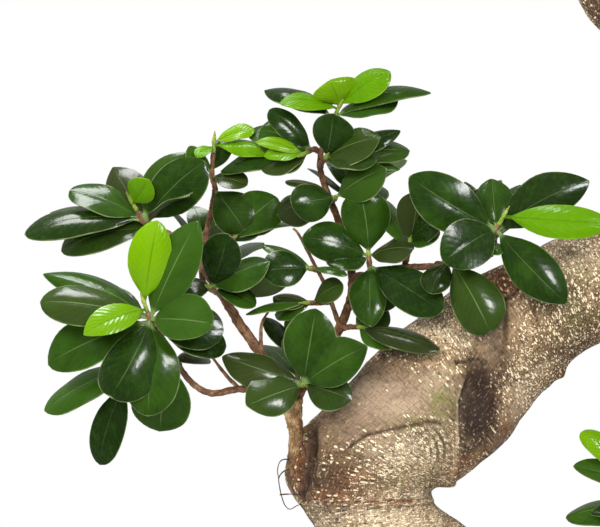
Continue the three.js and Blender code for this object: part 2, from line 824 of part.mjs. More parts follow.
function pierceScreen(solid, x) {
  const rows = [-1, 1].map((step) => step * screen.pitch);
  const holes = rows.flatMap((dx) =>
    rows.map((dy) => boxAt(x + dx, dy, pot.wall - 1, screen.hole, screen.hole, 4)));
  return holes.reduce((sum, hole) => sum.subtract(hole), solid);
}

// Materials: colour, roughness
const finishes = {
  bark: ['#b3a48a', 0.85],
  leaf: ['#2f5a26', 0.4],
  fresh: ['#8fc21a', 0.45],
  glaze: ['#2e4a6b', 0.25],
  soil: ['#4a3a2c', 0.95],
  mesh: ['#20221f', 0.6],
};

function meshNode(name, solid, finish) {
  const [color, roughness] = finishes[finish];
  const material = new THREE.MeshStandardMaterial({ color, roughness, metalness: 0 });
  const mesh = new THREE.Mesh(geometryOf(solid), material);
  mesh.name = name;
  return mesh;
}

// Assembly

const bonsai = new THREE.Group();
const wood = largestPiece(woodSolid(0));
const woodRoom = woodSolid(clearance);
const screenRoom = [-pot.drainX, pot.drainX].map((x) => screenSolid(x, clearance));
const soil = screenRoom.reduce((sum, room) => sum.subtract(room), soilSolid().subtract(woodRoom));

bonsai.add(meshNode('trunk', wood, 'bark'));
bonsai.add(meshNode('pot', potSolid(), 'glaze'));
bonsai.add(meshNode('soil', largestPiece(soil), 'soil'));
for (const [name, x] of [['drain_screen_left', -pot.drainX], ['drain_screen_right', pot.drainX]]) {
  bonsai.add(meshNode(name, pierceScreen(screenSolid(x), x), 'mesh'));
}
addObstacle('trunk', wood);
addObstacle('soil', soil);

const shownSprays = [...leftPad, cornerSpray].map((spray) => ({
  ...spray,
  stem: {
    ...stemOf(spray.stem, 2.3, 1.7),
    fine: true,
    lastRoot: spray.fresh.length > 0 ? 0.84 : 0.985,
  },
}));
const sprays = shownSprays.concat(roundSprays.map((row) => ({
  name: row[0],
  stem: { ...stemOf(roundStem(row), 2.3, 1.7), fine: false, lastRoot: 0.985 },
  leaves: roundLeaves(row),
  fresh: [],
})));

for (const spray of sprays) {
  spray.wood = largestPiece(spray.stem.solid.subtract(woodRoom));
  addObstacle(`spray_${spray.name}`, spray.wood);
  if (spray.fresh.length > 0) {
    spray.freshStem = freshStem(spray.stem);
    addObstacle(`new_growth_${spray.name}`, spray.freshStem.solid);
  }
}

for (const spray of sprays) {
  if (!spray.freshStem) continue;
  const name = `new_growth_${spray.name}`;
  const leaves = growLeaves(name, spray.freshStem, spray.fresh);
  const solid = leaves.reduce((sum, leaf) => sum.add(leaf), spray.freshStem.solid);
  bonsai.add(meshNode(name, largestPiece(solid), 'fresh'));
}

for (const spray of sprays) {
  const name = `spray_${spray.name}`;
  const leaves = growLeaves(name, spray.stem, spray.leaves);
  const solid = leaves.reduce((sum, leaf) => sum.add(leaf), spray.wood);
  bonsai.add(meshNode(name, largestPiece(solid), 'leaf'));
}

export default bonsai;
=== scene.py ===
"""A chinese banyan bonsai: an S-curved trunk, five leaf pads and a glazed pot, in a plain studio.

The tables are in millimetres and the meshes in metres. +Z is up, the pot's underside is at Z = 0,
and the tree's best side faces -Y.
"""

import logging
import math
import random
from dataclasses import dataclass, field
from enum import Enum
from typing import Callable, ClassVar

import bpy
import numpy as np
from mathutils import Matrix, Vector, noise
from mathutils.kdtree import KDTree


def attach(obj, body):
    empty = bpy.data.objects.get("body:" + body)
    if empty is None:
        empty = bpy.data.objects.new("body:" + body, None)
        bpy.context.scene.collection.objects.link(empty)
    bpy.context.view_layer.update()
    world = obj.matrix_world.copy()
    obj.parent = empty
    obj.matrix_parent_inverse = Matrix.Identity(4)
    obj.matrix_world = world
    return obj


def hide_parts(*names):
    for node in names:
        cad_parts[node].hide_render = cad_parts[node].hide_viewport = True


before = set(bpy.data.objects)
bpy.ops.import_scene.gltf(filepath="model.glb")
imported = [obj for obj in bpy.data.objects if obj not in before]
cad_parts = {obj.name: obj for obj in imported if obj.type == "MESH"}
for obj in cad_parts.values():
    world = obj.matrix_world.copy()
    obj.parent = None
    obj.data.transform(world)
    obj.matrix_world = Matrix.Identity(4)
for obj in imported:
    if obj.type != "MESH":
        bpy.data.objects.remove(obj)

Piece = bpy.types.Object
Material = bpy.types.Material
Value = "Socket | float"
MM = 0.001
GOLDEN_ANGLE = math.radians(137.5)
KNOT_DISTANCE, KNOT_SWELL, KNOT_SPREAD = 11, 0.06, 1.5
log = logging.getLogger("bonsai")


class Side(Enum):
    """A side of the trunk, as the sign of its direction along Y."""

    FRONT = -1
    BACK = 1


class Age(Enum):
    """A shoot's age: the first words of its piece's and its CAD node's names, and the name of its leaves'
    material, which nothing reads.
    """

    GROWN = ("leaves", "spray", "leaf")
    YOUNG = ("young", "new_growth", "young_leaf")


@dataclass(frozen=True)
class Spray:
    """A leafy shoot: its stem's points, its leaves' rows and the rows of its youngest leaves.

    A leaf's row is its root along the stem from 0 to 1, its tip from the stem's end, its width, its
    face in degrees (0 looks up, 90 looks to the front) and, on a bowed leaf, its arch.
    """

    name: str
    stem: list
    leaves: list
    fresh: tuple = ()


@dataclass(frozen=True)
class RoundSpray:
    """A shoot with leaves in a spiral: where it starts and ends, its leaves, their reach and turn."""

    name: str
    start: tuple
    end: tuple
    count: int
    reach: float
    turn: float


@dataclass(frozen=True)
class Groove:
    """A crease in the bark, through points x, z: its width, its depth and the strength of the painted shade
    in it.
    """

    points: tuple
    width: float
    depth: float
    dark: float = 0.7


@dataclass(frozen=True)
class Lip:
    """A line at which the bark on its left stands proud and that on its right lies deep, with painted shade
    along its deep side.
    """

    points: tuple
    rise: float
    rise_reach: float
    sink: float
    sink_reach: float
    # The strength and the reach of the painted shade on the deep side
    dark: float = 0.0
    dark_reach: float = 1.0


# Each rib of the trunk: left x, left z, right x, right z, middle y, half depth
TRUNK_RIBS = [
    (-46, 52, 36, 52, 0, 40), (-62, 84, 52, 84, 0, 54), (-76, 103, 66, 103, 0, 64),
    (-55, 120, 64, 122, 0, 53), (-38, 139, 67, 144, 2, 49), (-27, 158, 71, 172, 5, 46),
    (-23, 180, 69, 199, 7, 45), (-24, 196, 56, 228, 8, 43), (-43, 216, 23, 270, 6, 42),
    (-73, 249, -15, 307, 2, 40), (-113, 296, -36, 323, 0, 41), (-126, 315, -40, 330, -1, 43),
    (-137, 329, -41, 334, -2, 46), (-143, 344, -40, 336, -3, 48), (-140, 363, -38, 338, -4, 50),
    (-128, 381, -34, 339, -4, 50), (-113, 396, -26, 341, -4, 50), (-98, 411, -16, 347, -4, 50),
    (-84, 426, -6, 354, -4, 50), (-67, 442, 3, 361, -4, 49), (-50, 457, 14, 371, -3, 48),
    (-34, 470, 24, 386, -2, 46), (-17, 482, 36, 402, -1, 45), (1, 491, 49, 415, 1, 44),
    (21, 499, 61, 428, 3, 43), (46, 511, 78, 439, 5, 42), (71, 516, 100, 450, 7, 42),
    (96, 528, 131, 455, 9, 42), (123, 546, 190, 492, 12, 41), (134, 570, 218, 562, 14, 40),
    (127, 603, 197, 634, 12, 38), (102, 632, 151, 677, 8, 35), (72, 666, 120, 706, 4, 32),
    (38, 718, 89, 750, -2, 30), (-4, 796, 55, 800, -6, 28), (17, 858, 60, 836, -4, 24),
    (46, 893, 77, 868, -1, 18), (68, 912, 90, 896, 0, 12),
]
# Swellings and hollows of the trunk: x, z, radius, height
TRUNK_RELIEF = {
    Side.FRONT: [
        (-84, 372, 34, 7), (-112, 336, 22, 4), (-3, 396, 19, -11), (12, 480, 15, 6), (38, 455, 30, 4),
        (-38, 420, 24, 3), (-60, 300, 20, 4), (40, 190, 30, 5),
    ],
    Side.BACK: [(-90, 380, 40, 6), (30, 440, 36, 5), (160, 560, 30, 4), (20, 180, 30, 5)],
}
# Small knobs of the bark: x, y, z, radius, height
KNOBS = [
    (51, -6, 417, 4.5, 3.2), (-33, -12, 341, 8, 4), (30, -14, 391, 6, 1.6), (8, -32, 487, 8, 2.4),
    (-2, -38, 478, 5, 1.6), (-129, -14, 378, 5, 2), (88, -8, 448, 6, 1.5), (-60, -12, 448, 7, 1.6),
    (-128, -30, 336, 5, 2.2), (-119, -36, 331, 4, 1.6), (-104, -40, 333, 4, 1.2),
]
# Creases: their points, width, depth and the strength of the painted shade in them
GROOVES = [
    Groove(((-98, 366), (-85, 374.5), (-70, 378.5), (-58, 381.5), (-45, 384.5), (-36, 384)), 1.3, 2),
    Groove(((-98, 366), (-110, 352), (-122, 338)), 4, 2, 0.3),
    Groove(((-25, 425), (-17.5, 426), (-13, 428.5), (-8.5, 428), (-4, 423.5)), 1.4, 2.4, 0.8),
    Groove(((-142, 330), (-126, 329), (-101, 328.4), (-77, 329), (-56, 329), (-38, 331)), 1.2, 1.2, 0.45),
    Groove(((-124.5, 384), (-123.5, 367), (-125, 353), (-128, 340), (-131, 331)), 3.2, 5, 0.8),
    Groove(((2, 471), (9, 469), (15, 470), (22, 477)), 1.5, 2.6),
    Groove(((-3, 486), (-6, 474), (0, 466)), 2.2, 2.2, 0.5),
    Groove(((27, 470), (32, 456), (38, 446)), 1.4, 1.2, 0.4),
    Groove(((10, 372), (22, 383), (34, 388)), 2.4, 1.2, 0.3),
]
LIPS = [
    Lip(
        ((-27, 341), (-23.8, 357), (-23.2, 371), (-22.9, 385), (-22.8, 399), (-19, 412)),
        4.5, 20, 9, 20, 0.8, 8,
    ),
    Lip(((12, 462), (11, 440), (9, 416), (6.5, 398), (5, 380), (0, 362)), 2.5, 10, 3.5, 9, 0.3, 11),
    Lip(((-74, 435), (-55, 439), (-40, 434.5), (-24, 427)), 1.6, 9, 1.6, 8),
    Lip(((-150, 326.5), (-101, 325.8), (-56, 326), (-30, 328)), 1.2, 10, 2.4, 14),
    Lip(((-38, 384), (-45, 383.5), (-58, 380.5), (-70, 377.5), (-85, 373.5), (-98, 365)), 2.6, 11, 1.2, 6),
]
# Soft patches of each mask on the front of the trunk: x, z, half width, half height, strength
STAINS = {
    "smooth": [
        (-78, 398, 42, 26, 1), (-48, 402, 26, 18, 0.9), (-100, 384, 26, 18, 0.8), (2, 436, 11, 22, 0.6),
        (8, 458, 7, 16, 0.5), (20, 384, 10, 20, 0.85), (8, 366, 14, 10, 0.7),
    ],
    # Pale bark; the patches at (-44, 446) and (56, 497) are painted light on surfaces that face up and to
    # the left
    "pale": [
        (-70, 316, 60, 14, 1), (-62, 296, 40, 24, 0.9), (-62, 362, 26, 14, 0.75), (-40, 350, 14, 20, 0.5),
        (-58, 398, 24, 15, 0.4), (36, 386, 12, 9, 0.6), (22, 398, 9, 14, 0.9), (-44, 446, 30, 14, 0.8),
        (-88, 412, 20, 10, 0.6), (56, 497, 40, 12, 0.75), (20, 470, 8, 12, 0.4), (-40, 372, 15, 22, 0.55),
        (-38, 412, 15, 14, 0.6), (-50, 326, 24, 13, 0.8), (-18, 440, 13, 11, 0.6),
    ],
    "algae": [
        (-34, 398, 10, 14, 0.9), (-56, 384, 18, 5, 0.8), (-36, 366, 8, 16, 0.6), (62, 468, 14, 30, 0.5),
        (-52, 344, 22, 8, 0.35), (-8, 434, 12, 10, 0.35),
    ],
    # Painted shade in the hollow and along creases, and at (-84, 422) a painted leaf shadow
    "dark": [
        (-11, 386, 15, 25, 1), (-5, 392, 12, 22, 0.95), (-7, 410, 12, 18, 0.8), (-16, 366, 8, 10, 0.7),
        (6, 436, 5, 24, 0.45), (-125, 358, 6, 26, 0.7), (-112, 346, 14, 16, 0.4), (-104, 380, 22, 7, 0.35),
        (6, 455, 6, 14, 0.4), (4, 442, 11, 30, 0.42), (-84, 422, 13, 9, 0.42), (-130, 348, 8, 20, 0.5),
    ],
    # Reddish patches; Trunk.stain adds painted shade on the undersides to this mask
    "rust": [
        (8, 483, 16, 14, 1), (-6, 350, 24, 14, 1), (20, 360, 26, 14, 0.6), (-110, 332, 34, 8, 0.6),
        (-70, 328.5, 34, 1.6, 0.9), (-136, 360, 10, 34, 0.7), (36, 396, 14, 8, 0.6),
        (-96, 345, 22, 9, 0.45), (6, 358, 20, 9, 0.95), (12, 374, 6, 16, 0.7),
    ],
    # Brown bark; the patches at (-74, 424) and (-60, 431) are a painted leaf shadow
    "brown": [
        (-114, 342, 22, 16, 1), (-96, 358, 16, 12, 0.6), (-90, 342, 26, 9, 0.6), (-88, 372, 22, 8, 0.5),
        (-4, 412, 17, 30, 1), (-4, 440, 14, 14, 0.5), (6, 484, 20, 16, 0.5), (-6, 344, 24, 14, 0.4),
        (-124, 372, 12, 26, 0.8), (52, 430, 24, 26, 0.25), (62, 440, 40, 32, 0.65), (112, 495, 50, 40, 0.1),
        (-74, 424, 11, 7, 0.85), (-60, 431, 12, 6, 0.85), (76, 670, 16, 26, 0.9), (-136, 350, 12, 28, 0.9),
    ],
    "flecked": [
        (-52, 362, 34, 24, 1), (26, 410, 18, 24, 1), (-30, 452, 34, 14, 0.7), (46, 452, 34, 26, 0.3),
        (-54, 330, 26, 14, 0.8), (-70, 322, 66, 16, 0.55), (100, 500, 60, 60, 0.5),
    ],
}
# Curved folds in the bark, by their mask: their middle's x and z, and their pitch
FOLDS = {"folds": (-58, 362, 4.6), "scar": (10, 480, 4)}
# Surface roots: azimuth in degrees, reach, radius
SURFACE_ROOTS = [
    (6, 142, 19), (58, 104, 16), (112, 98, 15), (170, 146, 19), (216, 120, 16), (264, 100, 15),
    (316, 122, 17),
]
# The course of a surface root: share of its reach, height, share of its radius, swing in radians
ROOT_COURSE = [
    (0.12, 128, 1.1, 0), (0.3, 118, 1.0, 0), (0.58, 106, 0.8, 0.08), (0.82, 98, 0.55, 0.02),
    (1.0, 88, 0.35, -0.06),
]
# Limbs: x, y, z, radius from inside the parent to the tip
LIMBS = {
    "stub": [
        (-126, -10, 326, 6), (-134.5, -17, 343, 8.8), (-136, -21, 358, 7), (-135.5, -24, 374, 6),
        (-137.5, -25, 388, 7.2), (-139, -25, 399, 9),
    ],
    "left": [
        (-139, -25, 391, 6.4), (-144, -26, 406, 5), (-160, -24, 431, 4.4), (-175, -18, 452, 4),
        (-188, -12, 473, 3.7), (-200, -8, 490, 3.3), (-210, -4, 508, 2.8),
    ],
    "centre": [
        (-138, -25, 391, 6.2), (-134, -24, 404, 4.6), (-122, -18, 420, 4.2), (-106, -12, 448, 3.8),
        (-97, -6, 473, 3.5), (-98, 0, 496, 3.2), (-105, 4, 522, 3), (-114, 6, 545, 2.8),
        (-119, 6, 564, 2.5), (-116, 4, 582, 2.1),
    ],
    "right": [
        (-97, -4, 479, 3.2), (-92, -8, 486, 3.1), (-82, -12, 485, 3), (-66, -18, 491, 2.8),
        (-37, -28, 493, 2.6), (-17, -34, 498, 2.4), (-3, -38, 508, 2.1),
    ],
    "lower_left": [
        (-140, -26, 396, 4.2), (-160, -32, 404, 3.2), (-175, -36, 407, 2.9), (-195, -32, 404, 2.7),
        (-210, -37, 413, 2.5), (-223, -42, 433, 2.2),
    ],
    "lower_twig": [(-175, -36, 407, 1.8), (-184, -37, 416, 1.5), (-194, -38, 429, 1.1)],
    "dead_twig": [(-160, -24, 432, 1.8), (-160, -27, 451, 1.3), (-155, -28, 461, 0.9)],
    "fork_twig": [
        (-105, -12, 450, 2.1), (-115, -16, 478, 1.7), (-124, -20, 496, 1.4), (-134, -22, 515, 1.1),
        (-138, -22, 519, 0.9),
    ],
    "corner": [
        (38, 4, 172, 13), (78, -3, 190, 10), (106, -9, 214, 8), (128, -13, 248, 6.5), (140, -13, 282, 5),
        (148, -10, 312, 3.4),
    ],
    "corner_side": [(132, -13, 256, 5), (166, -6, 272, 4.2), (204, 2, 282, 3.4), (236, 8, 290, 2.6)],
    "right_high": [
        (176, 14, 572, 11), (228, 12, 588, 7.5), (266, 8, 602, 5.5), (300, 3, 612, 4), (330, 0, 620, 3),
    ],
    "right_high_side": [(264, 8, 601, 4), (282, 20, 618, 3.2), (300, 32, 632, 2.4)],
    "left_high": [
        (28, -6, 794, 10), (-22, -8, 805, 6.5), (-60, -10, 818, 4.8), (-90, -9, 826, 3.8),
        (-120, -8, 832, 2.8),
    ],
    "crown_left": [(66, 0, 884, 11), (56, -6, 910, 7), (44, -12, 936, 3.4)],
    "crown_right": [(76, 0, 890, 10), (94, 4, 912, 6), (114, 6, 936, 3.2)],
    "crown_top": [(76, 0, 896, 9), (79, 2, 926, 5.5), (78, 2, 956, 2.8)],
}
# Aerial rootlets: x, y, z
ROOTLETS = [
    [
        (-133, -20, 352), (-143, -26, 350), (-147.7, -28, 345), (-147, -28, 337), (-145.6, -27, 331),
        (-143.5, -26, 325.5), (-140, -24, 322.7), (-135, -18, 325), (-128, -10, 327),
    ],
    [(-138, -24, 358), (-146, -28, 357), (-148.6, -28, 351), (-148, -27, 344)],
    [(-132, -28, 370), (-129, -40, 362), (-130, -44, 350), (-127, -45, 338), (-121, -43, 328)],
    [(-128, -30, 366), (-124, -42, 356), (-125, -46, 346), (-119, -46, 336)],
    [(-147, -28, 333), (-141, -30, 333.5), (-133, -24, 333)],
]
# The sprays of the pad that the photograph shows
SHOWN_SPRAYS = [
    Spray("left_b", [(-210, -4, 508), (-228, -8, 517), (-243, -10, 524), (-247, -11, 531)], [
        (0.85, -79, -10, -15, 26, 42), (0.9, -62, 12, 0, 25, 30), (0.95, -48, 6, 15, 26, 42),
        (1, -18, 26, 32, 28, 60), (0.9, 37, 14, 42, 28, 60), (0.8, 47, -8, 35, 32, 78),
        (0.75, 37, -20, 12, 25, 20), (0.55, -54, 4, -27, 28, 45),
    ], [(0.9, 8, -14, 22, 19, 80)]),
    Spray("left_a", [(-223, -42, 433), (-231, -48, 446), (-237, -54, 455), (-239, -56, 461)], [
        (0.9, -74, -6, 8, 30, 55), (0.85, -50, 22, 9, 28, 60), (0.85, -73, 18, 27, 26, 40),
        (0.8, -70, 8, -36, 32, 65), (0.9, -25, -26, -58, 36, 80), (0.8, 1, -16, -72, 36, 82),
        (0.9, 46, -18, -8, 32, 70), (0.7, 53, 2, -13, 29, 65), (0.6, 55, 16, -24, 28, 50),
        (0.95, 35, -8, 63, 30, 75),
    ], [(1, 7, -12, 63, 27, 88), (0.2, -43, -25, -15, 21, 60)]),
    Spray("left_low", [(-216, -42, 423), (-235, -38, 431), (-249, -35, 425), (-254, -34, 411)], [
        (0.15, 23, 4, -34, 37, 84), (0.6, -58, 6, -19, 26, 42), (0.8, -47, 22, -17, 22, 30),
        (1, -19, 0, -57, 22, 55), (0.12, 58, 4, 17, 13, 50),
    ]),
    Spray("left_d", [(-188, -12, 473), (-192, -23, 476), (-196, -32, 478)], [
        (0.95, 13, -18, 37, 26, 72), (1, 42, -10, 18, 27, 50), (0.9, 54, -12, 3, 24, -42),
        (0.7, 32, -2, -13, 21, 26), (0.8, -25, 4, 0, 20, 42),
    ]),
    Spray("left_c", [(-200, -8, 490), (-192, -7, 500), (-184, -6, 507), (-179, -6, 513)], [
        (1, 30, 4, 28, 30, 66), (0.9, 48, -6, 10, 20, 10), (0.8, 20, 22, 18, 24, 40),
    ]),
    Spray("left_top", [(-203, -6, 495), (-198, 4, 520), (-193, 6, 545), (-195, 5, 557), (-194, 4, 572)], [
        (1, -17, 2, 5, 14, 42), (0.96, 11, 10, 11, 13, 40), (0.8, 24, -8, -22, 18, 42),
        (0.68, 22, -14, -54, 28, 80),
    ], [(1, 29, -2, 17, 13, 42), (0.6, -12, -12, -2, 9, 40), (0.7, 41, -10, 1, 16, 38)]),
    Spray("mid_f", [(-116, 4, 582), (-111, 1, 592), (-108, -1, 599)], [
        (0.9, -50, 10, 18, 24, 34, 0.16), (0.8, 67, 14, 17, 24, 24, 0.16),
        (0.85, 44, -12, 12, 24, 32, 0.14),
    ], [(0.6, -39, -10, 9, 16, 40), (1, -4, -10, 24, 30, 80), (0.9, 38, -2, 31, 22, 46)]),
    Spray("mid_g", [(-119, 6, 562), (-118, -6, 565), (-115, -16, 569)], [
        (1, 5, -15, 30, 27, 85), (0.95, 38, -14, 14, 28, 56), (0.7, 59, 6, 5, 26, 36),
        (0.5, 52, 16, 20, 23, 30), (0.85, 35, -12, -2, 22, 42), (0.6, 52, -2, -8, 15, 30),
    ]),
    Spray("mid_h", [(-118, 6, 572), (-123, 0, 575), (-127, -7, 573)], [
        (1, -34, -15, 16, 27, 66), (0.7, -27, 6, 30, 18, 52), (0.8, -42, 6, 15, 19, 42),
        (0.9, -26, -20, -10, 20, 46), (0.7, -33, -2, -13, 20, 32), (0.5, -62, 6, -14, 23, 32),
        (0.4, -58, 18, 3, 17, 22),
    ], [(0.8, -31, -10, -3, 15, 50), (1, -37, 4, 7, 11, 46)]),
    Spray("mid_i", [(-111, 5, 538), (-109, -8, 540), (-108, -18, 541)], [
        (1, -31, -18, -4, 25, 74), (0.8, -41, 0, -12, 25, 52), (0.7, -35, 8, 12, 16, 22),
        (0.9, 35, -12, 20, 26, 66),
    ]),
    Spray("right_i", [(-82, -12, 485), (-84, -14, 493), (-85, -16, 501)], [
        (0.9, -46, -14, 12, 27, 70), (1, -6, -8, 44, 31, 80), (0.8, -29, -20, -6, 23, 32),
        (0.9, 31, -12, 4, 23, 46), (0.5, 1, -22, -50, 24, 80), (0.55, 14, -4, -39, 24, 70),
        (0.5, 51, -34, -40, 27, 80),
    ]),
    Spray("right_j", [(-60, -20, 491), (-58, -24, 500), (-56, -26, 510)], [
        (0.95, 6, -4, 34, 23, 60), (1, 21, -14, 19, 23, 60), (0.85, 16, 8, 24, 20, 50),
        (0.9, 19, -22, 3, 19, 46), (0.7, -28, 4, 34, 19, 14), (0.8, -15, 12, 24, 13, 12),
    ]),
    Spray("right_k", [(-3, -38, 508), (1, -41, 514), (5, -43, 521)], [
        (0.95, -62, -6, 34, 35, 80), (1, -39, -24, -25, 32, 80), (0.95, -4, 14, 33, 24, 70),
        (0.55, 64, 10, 31, 30, 76), (0.8, 47, -16, -54, 30, 76), (0.2, 1, -10, -20, 13, 40),
    ], [(1, 80, -12, 1, 23, 74)]),
    Spray("right_l", [(-33, -30, 494), (-30, -37, 496), (-28, -43, 496)], [
        (1, 27, -16, -49, 32, 80), (0.8, 30, 4, 18, 22, 40), (0.8, -14, -14, -22, 20, 50),
    ]),
    Spray("low_m", [(-127, -21, 413), (-130, -33, 411), (-131, -43, 410)], [
        (0.95, 9, -6, 53, 34, 85), (0.95, 44, -10, 27, 31, 75), (0.9, 34, -8, -10, 26, 62),
        (1, -39, -20, -14, 30, 70), (0.85, -56, -2, 20, 27, 60),
    ]),
    Spray("inner_n", [(-112, -15, 468), (-120, -20, 467), (-127, -25, 467)], [
        (1, -44, -4, -7, 15, 18), (0.9, -25, 4, 4, 19, 28), (0.8, -24, 10, -8, 22, 40),
        (0.8, 24, -6, 13, 19, 46),
    ]),
    Spray("inner_up", [(-121, -18, 490), (-124, -25, 491), (-126, -31, 491)], [
        (1, -33, -4, -1, 26, 62), (0.9, -34, 10, 17, 17, 22), (0.8, 26, -8, -4, 12, 16),
    ]),
    Spray("inner_low", [(-106, -12, 448), (-99, -18, 450), (-92, -24, 450)], [
        (0.95, 24, -12, -13, 17, 46), (1, 56, -28, -15, 21, 42), (0.8, 20, 10, 14, 22, 50),
    ]),
    Spray("corner_a", [(141, -13, 288), (124, -17, 310), (110, -18, 330), (101, -20, 341)], [
        (0.95, -43, -6, 12, 20, 50), (0.7, -48, 0, -23, 23, 42), (0.6, -31, -16, -20, 17, 40),
        (0.9, 30, -20, 22, 26, 50), (0.8, 40, 2, -8, 26, 30), (0.9, 6, 12, 44, 24, 60),
        (0.7, 30, -28, -22, 26, 60),
    ], [(1, -37, -6, 36, 17, 55), (0.8, 6, -10, 34, 18, 60)]),
]
# The sprays at the back and in the other pads
ROUND_SPRAYS = [
    RoundSpray("back_a", (-188, -10, 473), (-202, 46, 508), 7, 46, 20),
    RoundSpray("back_b", (-105, 5, 522), (-93, 48, 553), 7, 44, 75),
    RoundSpray("back_c", (-124, -14, 424), (-134, 26, 436), 6, 40, 130),
    RoundSpray("back_d", (-37, -26, 494), (2, 30, 527), 7, 44, 200),
    RoundSpray("corner_b", (143, -12, 293), (170, -40, 344), 7, 58, 10),
    RoundSpray("corner_c", (139, -12, 282), (142, 38, 344), 7, 54, 60),
    RoundSpray("corner_d", (168, -5, 273), (204, -46, 308), 7, 58, 100),
    RoundSpray("corner_e", (204, 2, 283), (232, 40, 316), 8, 60, 150),
    RoundSpray("corner_f", (236, 8, 291), (270, -18, 306), 8, 62, 190),
    RoundSpray("corner_g", (148, -10, 312), (188, 20, 356), 7, 56, 240),
    RoundSpray("high_a", (230, 12, 589), (246, -34, 632), 7, 58, 30),
    RoundSpray("high_b", (266, 8, 603), (292, -48, 626), 7, 60, 80),
    RoundSpray("high_c", (329, 0, 620), (358, -16, 632), 8, 60, 120),
    RoundSpray("high_d", (300, 32, 632), (336, 48, 646), 7, 58, 170),
    RoundSpray("high_e", (282, 20, 618), (262, 58, 642), 7, 58, 210),
    RoundSpray("high_f", (300, 4, 612), (304, 0, 672), 8, 58, 260),
    RoundSpray("upper_a", (-24, -8, 806), (-34, -46, 850), 7, 58, 15),
    RoundSpray("upper_b", (-60, -10, 819), (-88, -48, 844), 7, 60, 65),
    RoundSpray("upper_c", (-119, -8, 832), (-150, -6, 844), 8, 60, 115),
    RoundSpray("upper_d", (-62, -9, 819), (-102, 44, 846), 7, 60, 165),
    RoundSpray("upper_e", (-26, -8, 807), (-46, 42, 854), 7, 58, 220),
    RoundSpray("upper_f", (-82, -9, 824), (-80, -2, 882), 7, 56, 300),
    RoundSpray("crown_a", (48, -10, 930), (12, -30, 948), 7, 58, 35),
    RoundSpray("crown_b", (55, -7, 914), (66, -56, 952), 7, 58, 85),
    RoundSpray("crown_c", (110, 6, 930), (132, -28, 954), 7, 58, 125),
    RoundSpray("crown_d", (112, 6, 934), (142, 36, 946), 7, 58, 175),
    RoundSpray("crown_e", (78, 2, 954), (78, -2, 992), 8, 56, 225),
    RoundSpray("crown_f", (50, -10, 924), (44, 46, 950), 7, 56, 280),
]
# How a leaf may be bent clear of its neighbours: push to the back at the tip, turn in degrees
BENDS = [
    (0, 0), (-6, 0), (6, 0), (-12, 0), (12, 0), (-18, 0), (18, 0), (0, 7), (0, -7), (-25, 0), (25, 0),
    (-10, 8), (10, -8), (-10, -8), (10, 8), (-32, 0), (32, 0), (-16, 14), (16, -14), (-16, -14), (16, 14),
    (0, 20), (0, -20), (-24, 22), (24, -22),
]
# Lamps: name, place in metres, side in metres, watts, whether glossy leaves show it
LAMPS = [
    ("key", (1.4, -1.9, 2.0), 0.65, 45, True), ("fill", (-1.5, -1.6, 1.9), 0.6, 29, False),
    ("top", (-0.3, 0.1, 2.6), 0.9, 40, True), ("rim", (-1.6, 0.5, 1.6), 0.7, 23, False),
    ("front", (-0.6, -2.6, 1.3), 1.7, 49, False),
]
# A leaf's half widths at places along it, with a blunt end and with a pointed one
OUTLINE_AT = np.array([
    0, 0.07, 0.12, 0.18, 0.25, 0.33, 0.41, 0.5, 0.58, 0.66, 0.74, 0.81, 0.87, 0.92, 0.955, 0.98, 1,
])
BLUNT = np.array([
    0, 0.07, 0.22, 0.44, 0.67, 0.87, 1.01, 1.09, 1.13, 1.13, 1.09, 1.01, 0.89, 0.72, 0.55, 0.36, 0.03,
])
POINTED = np.array([
    0, 0.07, 0.24, 0.48, 0.72, 0.91, 1.04, 1.1, 1.1, 1.05, 0.94, 0.8, 0.62, 0.43, 0.27, 0.14, 0.03,
])


# Paint and finishes


def tone(red: int, green: int, blue: int) -> tuple:
    """Gives a colour's linear values from its usual 0 to 255 ones."""
    shares = [value / 255 for value in (red, green, blue)]
    return (*[v / 12.92 if v < 0.0405 else ((v + 0.055) / 1.055) ** 2.4 for v in shares], 1.0)


def operator(operation: str, reflected: bool = False) -> Callable:
    """Makes one of Python's operators add a Math node.

    Args:
        operation: The node's operation.
        reflected: Whether the Socket stands on the operator's right.

    Returns:
        The operator's method.
    """

    def act(socket: "Socket", other: Value = 0.0) -> "Socket":
        """Adds the node."""
        first, second = (other, socket) if reflected else (socket, other)
        return socket.paint.node("ShaderNodeMath", {"operation": operation}, {0: first, 1: second})

    return act


@dataclass(frozen=True)
class Socket:
    """A value in a material, on which Python's operators add Math nodes."""

    paint: "Paint"
    link: bpy.types.NodeSocket

    __add__, __radd__ = operator("ADD"), operator("ADD", True)
    __sub__, __rsub__ = operator("SUBTRACT"), operator("SUBTRACT", True)
    __mul__, __rmul__ = operator("MULTIPLY"), operator("MULTIPLY", True)
    __truediv__, __pow__ = operator("DIVIDE"), operator("POWER")
    absolute, fraction, larger = operator("ABSOLUTE"), operator("FRACT"), operator("MAXIMUM")

    def between(self, low: float, high: float) -> "Socket":
        """Runs smoothly from 0 to 1 as the value goes from low to high, which may be below low.

        Args:
            low: The value that gives 0.
            high: The value that gives 1.

        Returns:
            The smooth step.
        """
        if low > high:
            return 1 - self.between(high, low)
        values = {"Value": self, "From Min": low, "From Max": high}
        return self.paint.node("ShaderNodeMapRange", {"interpolation_type": "SMOOTHSTEP"}, values)


